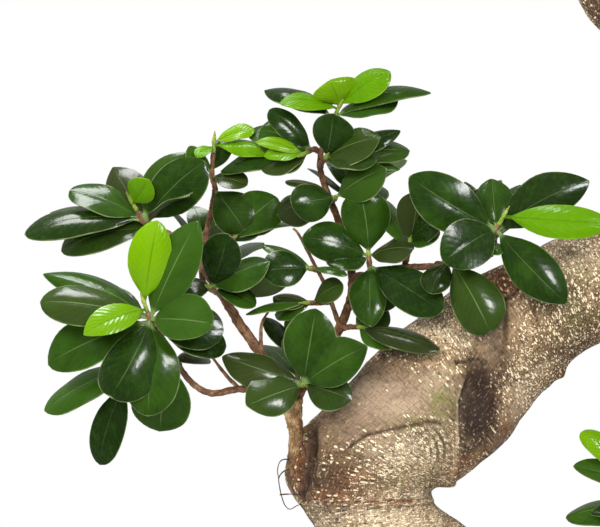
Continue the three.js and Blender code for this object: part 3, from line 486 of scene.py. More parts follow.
class Paint:
    """A material or a surround under construction."""

    def __init__(self, owner: "Material | bpy.types.World") -> None:
        """Clears the nodes of what is to be painted.

        Args:
            owner: The material or the world.
        """
        self.owner = owner
        owner.use_nodes = True
        owner.node_tree.nodes.clear()

    def node(
        self, kind: str, settings: dict | None = None, values: dict | None = None, out: int = 0
    ) -> Socket:
        """Adds a node, sets it up and fills its sockets.

        Args:
            kind: The node's type.
            settings: Its settings, set first.
            values: Its sockets by name or number, each a number, a colour or a Socket.
            out: Which of its outputs is wanted.

        Returns:
            The wanted output, or an empty Socket where the node has none.
        """
        made = self.owner.node_tree.nodes.new(kind)
        for key, value in (settings or {}).items():
            setattr(made, key, value)
        for key, value in (values or {}).items():
            if isinstance(value, Socket):
                self.owner.node_tree.links.new(value.link, made.inputs[key])
            else:
                made.inputs[key].default_value = value
        return Socket(self, made.outputs[out] if len(made.outputs) else None)

    def place(self) -> Socket:
        """Gives the point on the object, in metres."""
        return self.node("ShaderNodeTexCoord", out=3)

    def sheet(self) -> Socket:
        """Gives the point on the piece's own map."""
        return self.node("ShaderNodeUVMap", {"uv_map": "UVMap"})

    def part(self, vector: Socket, axis: int) -> Socket:
        """Gives one number of a vector: 0 for X, 1 for Y, 2 for Z."""
        return self.node("ShaderNodeSeparateXYZ", None, {0: vector}, axis)

    def mask(self, name: str) -> Socket:
        """Gives a number that the mesh holds at each corner."""
        return self.node("ShaderNodeAttribute", {"attribute_name": name}, out=2)

    def stretched(self, vector: Socket, scale: tuple) -> Socket:
        """Scales a vector by its axes."""
        return self.node("ShaderNodeMapping", None, {"Vector": vector, "Scale": scale})

    def shaken(self, vector: Socket, scale: float, reach: float) -> Socket:
        """Moves points about by noise, so that what is drawn there loses its regular shape.

        Args:
            vector: The points.
            scale: The noise's lumps a metre.
            reach: How far it moves them, in metres.

        Returns:
            The moved points.
        """
        push = self.node("ShaderNodeTexNoise", None, {"Vector": vector, "Scale": scale, "Detail": 2.0}, 1)
        values = {0: push, 1: (reach, reach, reach), 2: vector}
        return self.node("ShaderNodeVectorMath", {"operation": "MULTIPLY_ADD"}, values)

    def noise(self, vector: Socket, scale: float, detail: float = 4.0, rough: float = 0.55) -> Socket:
        """Gives soft noise from 0 to 1.

        Args:
            vector: Where the noise is read.
            scale: Its lumps a metre.
            detail: Its octaves.
            rough: How strong the finer octaves are.

        Returns:
            The noise's value.
        """
        values = {"Vector": vector, "Scale": scale, "Detail": detail, "Roughness": rough}
        return self.node("ShaderNodeTexNoise", None, values)

    def cells(self, vector: Socket, scale: float, out: int = 0) -> Socket:
        """Gives the distance to the nearest of scattered points, or with out=1 that cell's colour."""
        return self.node("ShaderNodeTexVoronoi", {"feature": "F1"}, {"Vector": vector, "Scale": scale}, out)

    def mix(self, low: "Socket | tuple", high: "Socket | tuple", factor: Value) -> Socket:
        """Mixes two colours, from low at factor 0 to high at factor 1."""
        return self.node("ShaderNodeMix", {"data_type": "RGBA"}, {0: factor, 6: low, 7: high}, 2)

    def bump(self, height: Socket, depth: float, strength: float) -> Socket:
        """Turns a height from 0 to 1, over a depth in metres, into a normal."""
        values = {"Height": height, "Distance": depth, "Strength": strength}
        return self.node("ShaderNodeBump", None, values)

    def finish(self, colour: Socket, roughness: Socket, more: dict) -> Material:
        """Closes the material with one surface shader.

        Args:
            colour: Its colour.
            roughness: Its roughness.
            more: The shader's other sockets.

        Returns:
            The material.
        """
        values = {"Base Color": colour, "Roughness": roughness, **more}
        shader = self.node("ShaderNodeBsdfPrincipled", None, values)
        self.node("ShaderNodeOutputMaterial", None, {"Surface": shader})
        return self.owner


def paint_for(name: str) -> Paint:
    """Starts a material under a name."""
    return Paint(bpy.data.materials.new(name))


@dataclass(frozen=True)
class Bark:
    """Thin beige bark, thick with cream lenticels, with algae, reddish patches, and painted shade in
    hollows and creases.
    """

    name: str = "bark"
    tan: tuple = tone(150, 122, 87)
    olive: tuple = tone(103, 80, 51)
    brown: tuple = tone(88, 64, 44)
    smooth: tuple = tone(152, 129, 108)
    cream: tuple = tone(254, 234, 198)
    light: tuple = tone(204, 176, 132)
    pale: tuple = tone(192, 170, 140)
    algae: tuple = tone(112, 116, 50)
    rust: tuple = tone(138, 82, 46)
    # The colour of the painted shade in hollows and creases
    dark: tuple = tone(48, 32, 26)
    pore: tuple = tone(46, 30, 19)
    broad_lumps: float = 34.0
    patches: float = 90.0
    fine_lumps: float = 420.0
    relief: float = 0.0011

    def material(self) -> Material:
        """Builds the bark's material.

        Returns:
            The material.
        """
        paint = paint_for(self.name)
        place, around = paint.place(), paint.sheet()
        broad = paint.noise(place, self.broad_lumps, 5, 0.6)
        fine = paint.noise(place, self.fine_lumps, 5, 0.7)
        patch = paint.noise(place, self.patches, 4)
        ground = paint.mix(self.tan, self.olive, broad.between(0.36, 0.6))
        for tint, share in (
            # Brown bark, and in two places a painted leaf shadow
            (self.brown, (paint.mask("brown") * (0.45 + 1.1 * patch)).between(0.05, 1.0)),
            (self.smooth, paint.mask("smooth") * (0.6 + 0.5 * patch)),
            # Pale bark, and in two places painted light
            (self.pale, paint.mask("pale") * patch.between(0.25, 0.6)),
            (self.algae, paint.mask("algae") * patch.between(0.36, 0.6)),
            # Reddish patches, and painted shade on the undersides
            (self.rust, (paint.mask("rust") * (0.4 + 1.2 * patch)).between(0.1, 0.9)),
            # Painted shade in hollows and creases, and a painted leaf shadow
            (self.dark, (paint.mask("dark") * (0.5 + patch)).between(0.05, 0.95)),
        ):
            ground = paint.mix(ground, tint, share)
        grain = paint.noise(paint.stretched(around, (1, 0.16, 1)), 620, 4, 0.65)
        lines = paint.noise(paint.stretched(around, (0.2, 1, 1)), 700, 3, 0.6)
        pits = (0.4 * fine + 0.6 * grain).between(0.52, 0.4).larger(0.7 * lines.between(0.46, 0.36))
        ground = paint.mix(ground, self.pore, pits * (0.9 - 0.5 * paint.mask("smooth")))
        ground = paint.mix(ground, self.light, 0.5 * (0.5 * fine + 0.5 * lines).between(0.54, 0.64))
        fleck = self.flecks(paint, place, around)
        fold = self.folds(paint, place, fine)
        # Brown in the fold lines: partly the bark's brown streaks, partly painted shade in the folds
        colour = paint.mix(paint.mix(ground, self.cream, fleck), self.brown, 0.9 * fold)
        # A painted highlight along the proud edge of the first lip
        colour = paint.mix(colour, self.pale, paint.mask("crest") * (0.15 + 0.8 * patch))
        height = 0.3 * fine + 0.3 * grain + 0.4 * fleck - 1.4 * fold
        return paint.finish(colour, 0.72 - 0.12 * fleck, {"Normal": paint.bump(height, self.relief, 0.9)})

    def flecks(self, paint: Paint, place: Socket, around: Socket) -> Socket:
        """Lays lenticels: small round ones all over, and longer ones that lie across the trunk.

        Args:
            paint: The bark's material.
            place: The point on the object, in metres.
            around: The bark's own map, in metres along and around the trunk.

        Returns:
            The share of cream, from 0 to 1.
        """
        # Lenticels thin out and fade under the painted shade
        dark = paint.mask("dark")
        crowd = paint.noise(place, 52, 4, 0.6) + 0.4 * paint.mask("flecked") - 0.5 * paint.mask("smooth")
        crowd = crowd - 0.12 * paint.mask("brown") - 0.3 * dark
        long = paint.stretched(paint.shaken(around, 500, 0.0012), (1.0, 0.55, 1.0))
        loose = paint.shaken(place, 640, 0.0012)
        total = None
        for spot, scale, rare, strength in (
            (long, 450, 1.08, 1.0), (loose, 640, 1.18, 0.95), (loose, 1150, 1.22, 0.6),
        ):
            near = paint.cells(spot, scale)
            size = paint.part(paint.cells(spot, scale, 1), 0)
            dot = near.between(0.46, 0.3) * (size + crowd).between(rare, rare + 0.12) * strength
            total = total.larger(dot) if total else dot
        return total * (0.92 - 0.76 * dark)

    def folds(self, paint: Paint, place: Socket, fine: Socket) -> Socket:
        """Draws the curved folds at the right of the swelling and round the scar of an old branch.

        Args:
            paint: The bark's material.
            place: The point on the object, in metres.
            fine: Fine noise, which makes the folds uneven.

        Returns:
            How deep in a fold a point is, from 0 to 1.
        """
        total = 0.0
        for name, (x, z, pitch) in FOLDS.items():
            across, up = paint.part(place, 0) - x * MM, paint.part(place, 2) - z * MM
            rings = (across * across + up * up) ** 0.5 / (pitch * MM) + 0.9 * fine
            line = (rings.fraction() - 0.5).absolute().between(0.2, 0.44)
            total = line * paint.mask(name) + total
        return total


@dataclass(frozen=True)
class Twig:
    """Brown bark of limbs and twigs, reddish where it is young."""

    name: str
    brown: tuple
    light: tuple
    dark: tuple

    def material(self) -> Material:
        """Builds the twig's material.

        Returns:
            The material.
        """
        paint = paint_for(self.name)
        place = paint.place()
        lumps = paint.noise(place, 160, 4)
        grain = paint.noise(paint.stretched(paint.sheet(), (0.3, 1, 1)), 1000, 5, 0.7)
        colour = paint.mix(self.brown, self.light, lumps.between(0.42, 0.66))
        colour = paint.mix(colour, self.dark, grain.between(0.52, 0.34))
        dots = paint.cells(paint.shaken(place, 500, 0.001), 520).between(0.34, 0.16)
        colour = paint.mix(colour, self.light, 0.6 * dots)
        # Painted shade where a piece carries the dim mask: the stub, low down and behind
        colour = paint.mix(colour, self.dark, paint.mask("dim"))
        normal = paint.bump(0.7 * grain + 0.3 * dots, 0.0008, 0.8)
        return paint.finish(colour, 0.62 + 0.2 * grain, {"Normal": normal})


@dataclass(frozen=True)
class Leaf:
    """A glossy ficus leaf: pale midrib, faint side veins, a thin pale margin and a dull underside."""

    name: str
    green: tuple
    light: tuple
    under: tuple
    rib: tuple
    margin: tuple
    dull: tuple
    quilt: float
    roughness: float = 0.17
    coat: float = 0.08
    vein_pairs: float = 11.0
    relief: float = 0.0009

    def material(self) -> Material:
        """Builds the leaf's material. Its map runs from the root to the tip and from edge to edge.

        Returns:
            The material.
        """
        paint = paint_for(self.name)
        place, sheet = paint.place(), paint.sheet()
        along = paint.part(sheet, 0)
        across = (paint.part(sheet, 1) - 0.5).absolute() * 2
        below, leaf_tone = paint.mask("below"), paint.mask("leaf_tone")
        cloud = paint.noise(place, 55, 3)
        mottle = paint.noise(place, 240, 4, 0.6)
        waves = paint.noise(place, 130, 2)
        pores = paint.noise(place, 1400, 2)
        lanes = (along * self.vein_pairs - across * 3.2 + 0.35 * cloud).fraction()
        vein = (lanes - 0.5).absolute().between(0.4, 0.5) * across.between(0.02, 0.12)
        midrib = across.between(0.04, 0.008) * along.between(1.0, 0.7)
        edge = across.between(0.95, 0.995).larger(along.between(0.985, 0.998))
        stalk = along.between(0.13, 0.06)
        patch = paint.noise(place, 70, 2).between(0.35, 0.65)
        colour = paint.mix(self.green, self.light, (leaf_tone + 0.9 * cloud - 0.45).between(0.15, 1.0))
        for tint, share in (
            (self.light, 0.3 * mottle.between(0.45, 0.7)),
            (self.dull, 0.75 * (leaf_tone * 3.7).fraction().between(0.55, 0.95)),
            (self.rib, (0.01 + 0.5 * self.quilt) * vein),
            (self.under, below),
            (self.rib, (midrib * (0.08 + 0.3 * leaf_tone)).larger(0.65 * stalk)),
            (self.margin, edge * (0.1 + 0.4 * patch)),
        ):
            colour = paint.mix(colour, tint, share)
        height = 0.55 * (1 - midrib) + self.quilt * (lanes - 0.5).absolute() * 2 + 0.32 * waves
        height = height + 0.02 * mottle + 0.015 * pores
        return paint.finish(colour, self.roughness + 0.08 * cloud + 0.3 * below, {
            "Specular IOR Level": 0.32,
            "Coat Weight": self.coat * (1 - below),
            "Coat Roughness": 0.06,
            "Normal": paint.bump(height, self.relief, 0.8),
        })


@dataclass(frozen=True)
class Glaze:
    """Deep blue glaze that breaks to brown on the edges, over bare clay at the foot."""

    name: str = "glaze"
    blue: tuple = tone(24, 48, 92)
    bright: tuple = tone(48, 92, 142)
    brown: tuple = tone(98, 62, 38)
    clay: tuple = tone(128, 84, 58)

    def material(self) -> Material:
        """Builds the glaze's material.

        Returns:
            The material.
        """
        paint = paint_for(self.name)
        place = paint.place()
        height = paint.part(place, 2)
        runs = paint.noise(paint.stretched(place, (1, 1, 0.25)), 42, 5)
        specks = paint.cells(place, 380).between(0.2, 0.08)
        wander = 0.006 * runs
        foot = (height + wander).between(0.012, 0.009)
        lip = (height - wander).between(0.0985, 0.1015) * paint.mask("edge").larger(0.35)
        colour = paint.mix(self.blue, self.bright, runs.between(0.45, 0.72))
        edge = paint.mask("edge") * runs.between(0.3, 0.6)
        colour = paint.mix(colour, self.brown, 0.85 * lip.larger(edge))
        colour = paint.mix(colour, self.brown, 0.4 * specks)
        colour = paint.mix(colour, self.clay, foot)
        relief = runs + 0.4 * paint.noise(place, 700, 3) * foot
        return paint.finish(colour, 0.16 + 0.08 * runs + 0.6 * foot, {
            "Coat Weight": 0.6 * (1 - foot),
            "Coat Roughness": 0.06,
            "Normal": paint.bump(relief, 0.0006, 0.5),
        })


@dataclass(frozen=True)
class Earth:
    """Crumbly potting soil or the grit that lies on it."""

    name: str
    brown: tuple
    light: tuple
    scale: float

    def material(self) -> Material:
        """Builds the soil's material.

        Returns:
            The material.
        """
        paint = paint_for(self.name)
        place = paint.place()
        crumbs = paint.noise(place, self.scale, 6, 0.75)
        cell = paint.part(paint.cells(place, 140, 1), 0)
        colour = paint.mix(self.brown, self.light, (crumbs * (0.5 + cell)).between(0.3, 0.75))
        return paint.finish(colour, 0.95 - 0.1 * cell, {"Normal": paint.bump(crumbs, 0.0015, 0.9)})


@dataclass(frozen=True)
class Moss:
    """Short cushion moss, fresh at the tips."""

    name: str = "moss"
    deep: tuple = tone(52, 74, 22)
    fresh: tuple = tone(128, 158, 52)

    def material(self) -> Material:
        """Builds the moss's material.

        Returns:
            The material.
        """
        paint = paint_for(self.name)
        tuft = paint.noise(paint.place(), 220, 4, 0.7)
        share = tuft.between(0.35, 0.68) * (0.4 + 0.6 * paint.mask("tip"))
        colour = paint.mix(self.deep, self.fresh, share)
        return paint.finish(colour, 0.8 + 0.1 * tuft, {"Normal": paint.bump(tuft, 0.001, 0.7)})


@dataclass(frozen=True)
class Plastic:
    """Matt moulded plastic with a fine grain."""

    name: str
    colour: tuple
    worn: tuple

    def material(self) -> Material:
        """Builds the plastic's material.

        Returns:
            The material.
        """
        paint = paint_for(self.name)
        place = paint.place()
        grain = paint.noise(place, 1500, 3)
        colour = paint.mix(self.colour, self.worn, paint.noise(place, 120, 4).between(0.45, 0.75))
        return paint.finish(colour, 0.5 + 0.2 * grain, {"Normal": paint.bump(grain, 0.0003, 0.6)})


DARK_LEAF = Leaf(
    "leaf", tone(22, 41, 8), tone(47, 79, 15), tone(70, 88, 40), tone(138, 166, 96), tone(158, 174, 116),
    tone(44, 48, 22), quilt=0.035,
)
YOUNG_LEAF = Leaf(
    "young_leaf", tone(84, 132, 0), tone(104, 148, 0), tone(92, 128, 12), tone(66, 110, 0),
    tone(150, 186, 56), tone(98, 138, 4), quilt=0.2,
)
LIMB_BARK = Twig("limb_bark", tone(146, 114, 80), tone(204, 172, 128), tone(78, 52, 36))
STUB_BARK = Twig("stub_bark", tone(150, 112, 74), tone(222, 184, 132), tone(62, 42, 30))
TWIG_BARK = Twig("twig_bark", tone(104, 72, 50), tone(152, 114, 80), tone(56, 35, 25))
ROOTLET_BARK = Twig("rootlet_bark", tone(62, 44, 36), tone(96, 72, 56), tone(38, 26, 22))
SHOOT_SKIN = Twig("shoot_skin", tone(126, 148, 54), tone(160, 178, 80), tone(84, 92, 34))


# Numbers and meshes


def unit(vectors: np.ndarray) -> np.ndarray:
    """Gives one vector, or each row of vectors, the length 1."""
    return vectors / np.linalg.norm(vectors, axis=-1, keepdims=True)


def bell(away: np.ndarray) -> np.ndarray:
    """Falls softly from 1 at 0 to nearly 0 at 2."""
    return np.exp(-(away**2))


def hump(share: np.ndarray) -> np.ndarray:
    """Rises from 0 to 1 and falls to 0 again as a share goes from 0 to 1."""
    return 4 * share * (1 - share)


def facing(outward: np.ndarray) -> np.ndarray:
    """Tells how far directions look to the front, from 0 to 1."""
    return np.clip(-outward[..., 1] * 2.2, 0, 1)


def paces(points: np.ndarray) -> np.ndarray:
    """Measures how far along a line each of its points lies."""
    return np.concatenate([[0], np.cumsum(np.linalg.norm(np.diff(points, axis=0), axis=1))])


def search(points: np.ndarray) -> KDTree:
    """Readies points for a search by nearness.

    Args:
        points: The points.

    Returns:
        The tree, which knows each point by its number.
    """
    tree = KDTree(len(points))
    for number, point in enumerate(points):
        tree.insert(point, number)
    tree.balance()
    return tree


def spline(rows: np.ndarray, at: np.ndarray) -> np.ndarray:
    """Reads a Catmull-Rom curve through rows of numbers.

    Args:
        rows: The curve's rows.
        at: Places along them, from 0 to the last row's number.

    Returns:
        One row for each place.
    """
    start = np.clip(np.floor(at).astype(int), 0, len(rows) - 2)
    t = (at - start)[:, None]
    a, b, c, d = [rows[np.clip(start + shift, 0, len(rows) - 1)] for shift in (-1, 0, 1, 2)]
    return b + 0.5 * t * (c - a + t * (2 * a - 5 * b + 4 * c - d + t * (3 * (b - c) + d - a)))


def to_line(x: np.ndarray, z: np.ndarray, points: tuple) -> tuple:
    """Measures how far points lie from a line of several stretches.

    Args:
        x: The points' x.
        z: The points' z.
        points: The line's corners.

    Returns:
        The distances, and the same with a sign: positive to the right of the line as it is drawn.
    """
    best, signed = np.full(x.shape, 1e9), np.zeros(x.shape)
    for (ax, az), (bx, bz) in zip(points, points[1:]):
        dx, dz = bx - ax, bz - az
        t = np.clip(((x - ax) * dx + (z - az) * dz) / (dx * dx + dz * dz), 0, 1)
        px, pz = x - ax - t * dx, z - az - t * dz
        far = np.hypot(px, pz)
        signed = np.where(far < best, far * np.sign(px * dz - pz * dx), signed)
        best = np.minimum(best, far)
    return best, signed


def only(piece: Piece) -> None:
    """Selects one object alone and makes it active.

    Args:
        piece: The object.
    """
    bpy.ops.object.select_all(action="DESELECT")
    piece.select_set(True)
    bpy.context.view_layer.objects.active = piece


def places(piece: Piece) -> np.ndarray:
    """Gives a mesh's vertices.

    Args:
        piece: The object.

    Returns:
        Rows of x, y, z in metres.
    """
    flat = np.empty(len(piece.data.vertices) * 3)
    piece.data.vertices.foreach_get("co", flat)
    return flat.reshape(-1, 3)


def put(piece: Piece, rows: np.ndarray) -> None:
    """Moves a mesh's vertices to rows of x, y, z."""
    piece.data.vertices.foreach_set("co", np.ascontiguousarray(rows, dtype=np.float32).ravel())
    piece.data.update()


def mark(piece: Piece, name: str, values: np.ndarray) -> None:
    """Writes one number for each vertex as an attribute."""
    layer = piece.data.attributes.new(name, "FLOAT", "POINT")
    layer.data.foreach_set("value", np.ascontiguousarray(values, dtype=np.float32).ravel())


def add(name: str, data: bpy.types.ID) -> Piece:
    """Adds an object to the scene.

    Args:
        name: The object's name.
        data: Its mesh, lamp or camera.

    Returns:
        The object.
    """
    made = bpy.data.objects.new(name, data)
    bpy.context.collection.objects.link(made)
    return made


def add_mesh(name: str, points: list, faces: list) -> Piece:
    """Adds a mesh to the scene.

    Args:
        name: The object's name.
        points: Its points in metres.
        faces: Its faces, as the numbers of their points.

    Returns:
        The object.
    """
    mesh = bpy.data.meshes.new(name)
    mesh.from_pydata(points, [], faces)
    return add(name, mesh)


def take(piece: Piece) -> tuple:
    """Takes an object's shape and removes the object.

    Args:
        piece: The object.

    Returns:
        Its points and its faces.
    """
    shape = places(piece), [tuple(side.vertices) for side in piece.data.polygons]
    bpy.data.objects.remove(piece)
    return shape


def apply(piece: Piece, kind: str, settings: dict) -> None:
    """Adds a modifier and applies it.

    Args:
        piece: The object.
        kind: The modifier's type.
        settings: Its settings.
    """
    only(piece)
    modifier = piece.modifiers.new(kind.lower(), kind)
    for key, value in settings.items():
        setattr(modifier, key, value)
    bpy.ops.object.modifier_apply(modifier=modifier.name)


def face_out(piece: Piece) -> None:
    """Turns a mesh's faces outward.

    Args:
        piece: The object.
    """
    only(piece)
    bpy.ops.object.mode_set(mode="EDIT")
    bpy.ops.mesh.select_all(action="SELECT")
    bpy.ops.mesh.normals_make_consistent(inside=False)
    bpy.ops.object.mode_set(mode="OBJECT")


def smooth(piece: Piece, angle: float) -> None:
    """Shades a mesh smooth, apart from edges that bend more than an angle in degrees."""
    only(piece)
    bpy.ops.object.shade_smooth_by_angle(angle=math.radians(angle))


def join(name: str, parts: list) -> Piece:
    """Joins objects into one under a new name.

    Args:
        name: The piece's name.
        parts: The objects.

    Returns:
        The piece.
    """
    only(parts[0])
    for part in parts[1:]:
        part.select_set(True)
    bpy.ops.object.join()
    parts[0].name = name
    parts[0].data.name = name
    return parts[0]


def settle(piece: Piece, nodes: list, material: Material | None = None) -> Piece:
    """Rides a finished piece on the part, in place of its CAD nodes.

    Args:
        piece: The finished object.
        nodes: The CAD nodes that it stands for.
        material: Its material, where it has none yet.

    Returns:
        The piece.
    """
    only(piece)
    bpy.ops.object.transform_apply(location=True, rotation=True, scale=True)
    if material:
        piece.data.materials.append(material)
    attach(piece, "root")
    if nodes:
        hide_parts(*nodes)
    log.info("%s: %d faces", piece.name, len(piece.data.polygons))
    return piece


def wrap(name: str, rings: np.ndarray, along: np.ndarray, around: np.ndarray) -> Piece:
    """Wraps a grid round a row of rings, closes its seam and fills its ends.

    Args:
        name: The object's name.
        rings: Points in metres, [ring, column, 3]; the last column repeats the first.
        along: Each ring's place along the piece, in metres, for its map.
        around: Each point's place around the piece, in metres, for its map.

    Returns:
        The closed skin.
    """
    count, columns = rings.shape[:2]
    bpy.ops.mesh.primitive_grid_add(x_subdivisions=count - 1, y_subdivisions=columns - 1, size=1)
    piece = bpy.context.object
    piece.name = name
    flat = places(piece)
    row = np.rint((flat[:, 0] + 0.5) * (count - 1)).astype(int)
    column = np.rint((flat[:, 1] + 0.5) * (columns - 1)).astype(int)
    put(piece, rings[row, column])
    corner = np.empty(len(piece.data.loops), dtype=np.int32)
    piece.data.loops.foreach_get("vertex_index", corner)
    sheet = np.stack([along[row[corner]], around[row[corner], column[corner]]], axis=1)
    piece.data.uv_layers[0].data.foreach_set("uv", sheet.astype(np.float32).ravel())
    bpy.ops.object.mode_set(mode="EDIT")
    bpy.ops.mesh.select_all(action="SELECT")
    bpy.ops.mesh.remove_doubles(threshold=1e-5)
    bpy.ops.mesh.select_all(action="DESELECT")
    bpy.ops.mesh.select_non_manifold(use_verts=False, use_wire=False, use_multi_face=False)
    bpy.ops.mesh.fill_holes(sides=0)
    bpy.ops.object.mode_set(mode="OBJECT")
    face_out(piece)
    bpy.ops.object.shade_smooth()
    return piece


def tube(name: str, points: list, make: tuple, seed: float) -> Piece:
    """Makes a tapered, slightly knobbly round branch.

    Args:
        name: The object's name.
        points: Rows of x, y, z, radius in millimetres.
        make: The points round it, its rings' distance, and how far its skin wanders as a share of
            its radius.
        seed: A number that sets its lumps.

    Returns:
        The branch.
    """
    sides, step, lump = make
    rows = np.array(points, dtype=float)
    fine = spline(rows, np.linspace(0, len(rows) - 1, 12 * len(rows)))
    walked = paces(fine[:, :3])
    count = max(4, int(walked[-1] / step))
    even = np.linspace(0, walked[-1], count + 1)
    path = np.stack([np.interp(even, walked, fine[:, k]) for k in range(4)], axis=1)
    tangent = unit(np.gradient(path[:, :3], axis=0))
    turn = np.linspace(0, 2 * math.pi, sides + 1)
    side = np.array([0.0, 1.0, 0.02])
    rings = np.empty((count + 1, sides + 1, 3))
    for index, (middle, direction) in enumerate(zip(path, tangent)):
        side = unit(side - direction * side.dot(direction))
        other = np.cross(direction, side)
        past_knot = (even[index] + seed) % KNOT_DISTANCE - 5
        radius = middle[3] * (1 + KNOT_SWELL * math.exp(-(past_knot**2) / KNOT_SPREAD))
        for column, angle in enumerate(turn):
            out = side * math.cos(angle) + other * math.sin(angle)
            spot = Vector(middle[:3] + out * middle[3]) * (0.5 / max(middle[3], 1.5)) + Vector((seed, 0, 0))
            rings[index, column] = middle[:3] + out * radius * (1 + lump * noise.noise(spot))
    rings[:, -1] = rings[:, 0]
    return wrap(name, rings * MM, even * MM, turn * path[:, 3, None] * MM)


# The trunk


@dataclass
class Trunk:
    """The thick S-curved trunk, from the plug in the soil to the crown, with its surface roots."""

    sides: int = 180
    view_step: float = 1.5
    plain_step: float = 4.6
    view_low: float = 285.0
    view_high: float = 545.0
    view_right: float = 110.0
    column_shift: float = 0.3
    bark_stretch: float = 1.35
    flare_top: float = 150.0
    flare_fade: float = 60.0
    flare_ribs: int = 5
    lobes: int = 6
    lobe_depth: float = 0.11
    lumps_of: tuple = ((1.5, 34), (0.7, 11), (0.32, 3.4))
    pale_below: float = 290.0
    pale_fade: float = 60.0
    # The width of the painted highlight on the first lip's proud edge
    crest_width: float = 1.5
    fold_radius: float = 23.0
    fold_width: float = 10.0
    fold_bearing: float = 12.0
    fold_arc: float = 42.0
    scar_radius: float = 14.0
    root_middle: float = -5.0
    root_make: tuple = (40, 2.4, 0.22)
    root_seed: float = 31.0

    def stations(self, ribs: np.ndarray) -> np.ndarray:
        """Spaces the rings, closer where the photograph looks.

        Args:
            ribs: The trunk's ribs.

        Returns:
            Places along the ribs.
        """
        places_at = np.linspace(0, len(ribs) - 1, 40 * (len(ribs) - 1) + 1)
        fine = spline(ribs, places_at)
        left = np.hypot(*np.diff(fine[:, 0:2], axis=0).T)
        right = np.hypot(*np.diff(fine[:, 2:4], axis=0).T)
        height = (fine[1:, 1] + fine[1:, 3]) / 2
        near = (height > self.view_low) & (height < self.view_high) & (fine[1:, 0] < self.view_right)
        share = np.maximum(left, right) / np.where(near, self.view_step, self.plain_step)
        walked = np.concatenate([[0], np.cumsum(share)])
        return np.interp(np.arange(int(walked[-1]) + 1), walked, places_at)

    def lumps(self, points: np.ndarray) -> np.ndarray:
        """Gives lumps of three sizes over all of the bark.

        Args:
            points: The skin's points in millimetres.

        Returns:
            The lumps' height.
        """
        flat = [Vector(point) for point in points.reshape(-1, 3)]
        heights = [sum(height * noise.noise(p / size) for height, size in self.lumps_of) for p in flat]
        return np.array(heights).reshape(points.shape[:-1])

    def carve(self, points: np.ndarray, outward: np.ndarray) -> tuple:
        """Raises and lowers the bark: swellings, knobs, creases, lips and lumps.

        Args:
            points: The skin's points in millimetres.
            outward: Their directions out of the trunk.

        Returns:
            How far each point moves outward, and how much painted shade darkens its grooves and lips.
        """
        x, y, z = points[..., 0], points[..., 1], points[..., 2]
        rise, crease, front = self.lumps(points), np.zeros(x.shape), facing(outward)
        for side, rows in TRUNK_RELIEF.items():
            toward = np.clip(side.value * outward[..., 1], 0, None)
            for at_x, at_z, radius, height in rows:
                rise += height * bell(np.hypot(x - at_x, z - at_z) / radius) * toward
        for at_x, at_y, at_z, radius, height in KNOBS:
            rise += height * bell(np.hypot(np.hypot(x - at_x, y - at_y), z - at_z) / radius)
        for groove in GROOVES:
            shape = bell(to_line(x, z, groove.points)[0] / groove.width) * front
            # Painted shade in the groove
            crease = np.maximum(crease, groove.dark * shape)
            rise -= groove.depth * shape
        for lip in LIPS:
            away, side = to_line(x, z, lip.points)
            proud = np.where(side < 0, lip.rise * np.exp(-away / lip.rise_reach), 0)
            deep = np.where(side > 0, lip.sink * np.exp(-away / lip.sink_reach), 0)
            rise += (proud - deep) * front
            # Painted shade on the deep side of the lip
            shade = np.where(side > 0, lip.dark * bell(away / lip.dark_reach), 0)
            crease = np.maximum(crease, shade * front)
        return rise, crease

    def skin(self) -> Piece:
        """Builds the trunk's skin with its masks.

        Returns:
            The trunk's object.
        """
        ribs = np.array(TRUNK_RIBS, dtype=float)
        stations = self.stations(ribs)
        rows = spline(ribs, stations)
        turn = 2 * math.pi * np.linspace(0, 1, self.sides + 1)
        angle = turn + self.column_shift * np.cos(turn)
        left_x, left_z, right_x, right_z, middle_y, deep = rows.T
        middle = np.stack([(left_x + right_x) / 2, middle_y, (left_z + right_z) / 2], axis=1)
        right = np.stack([right_x - left_x, 0 * left_x, right_z - left_z], axis=1) / 2
        half = np.linalg.norm(right, axis=1)
        flare = np.clip((self.flare_top - middle[:, 2]) / self.flare_fade, 0, 1)
        flare *= stations < self.flare_ribs
        lobe = 1 + self.lobe_depth * flare[:, None] * np.cos(self.lobes * angle)[None, :]
        wide = half[:, None] * lobe * np.cos(angle)
        points = middle[:, None] + unit(right)[:, None] * wide[..., None]
        points[..., 1] -= deep[:, None] * lobe * np.sin(angle)
        outward = unit(points - middle[:, None])
        rise, crease = self.carve(points, outward)
        points += outward * rise[..., None]
        points[:, -1] = points[:, 0]
        along = self.bark_stretch * paces(middle)
        around = angle[None, :] * (0.5 * (half + deep))[:, None]
        piece = wrap("trunk_bark", points * MM, along * MM, around * MM)
        self.stain(piece, points, outward, crease)
        return piece

    def stain(self, piece: Piece, points: np.ndarray, outward: np.ndarray, crease: np.ndarray) -> None:
        """Writes the masks that colour the bark, painted shade and painted light among them.

        Args:
            piece: The trunk's object.
            points: The skin's points in millimetres.
            outward: Their directions out of the trunk.
            crease: How much painted shade darkens its grooves and lips.
        """
        tree = search(points.reshape(-1, 3))
        source = [tree.find(point)[1] for point in places(piece) / MM]
        x, z, front = points[..., 0], points[..., 2], facing(outward)
        masks = {}
        for name, rows in STAINS.items():
            spots = [
                strength * bell(np.hypot((x - at_x) / across, (z - at_z) / high))
                for at_x, at_z, across, high, strength in rows
            ]
            masks[name] = np.max(spots, axis=0) * front
        # Painted shade on the undersides: bark that faces down is reddened and darkened
        masks["rust"] = np.maximum(masks["rust"], 0.5 * np.clip(-outward[..., 2] * 1.6 - 0.6, 0, 1))
        # Painted shade: the dark patches and the shade of the grooves and lips
        masks["dark"] = np.maximum(masks["dark"], crease)
        low = np.clip((self.pale_below - z) / self.pale_fade, 0, 1)
        masks["pale"] = np.maximum(masks["pale"], 0.5 * low)
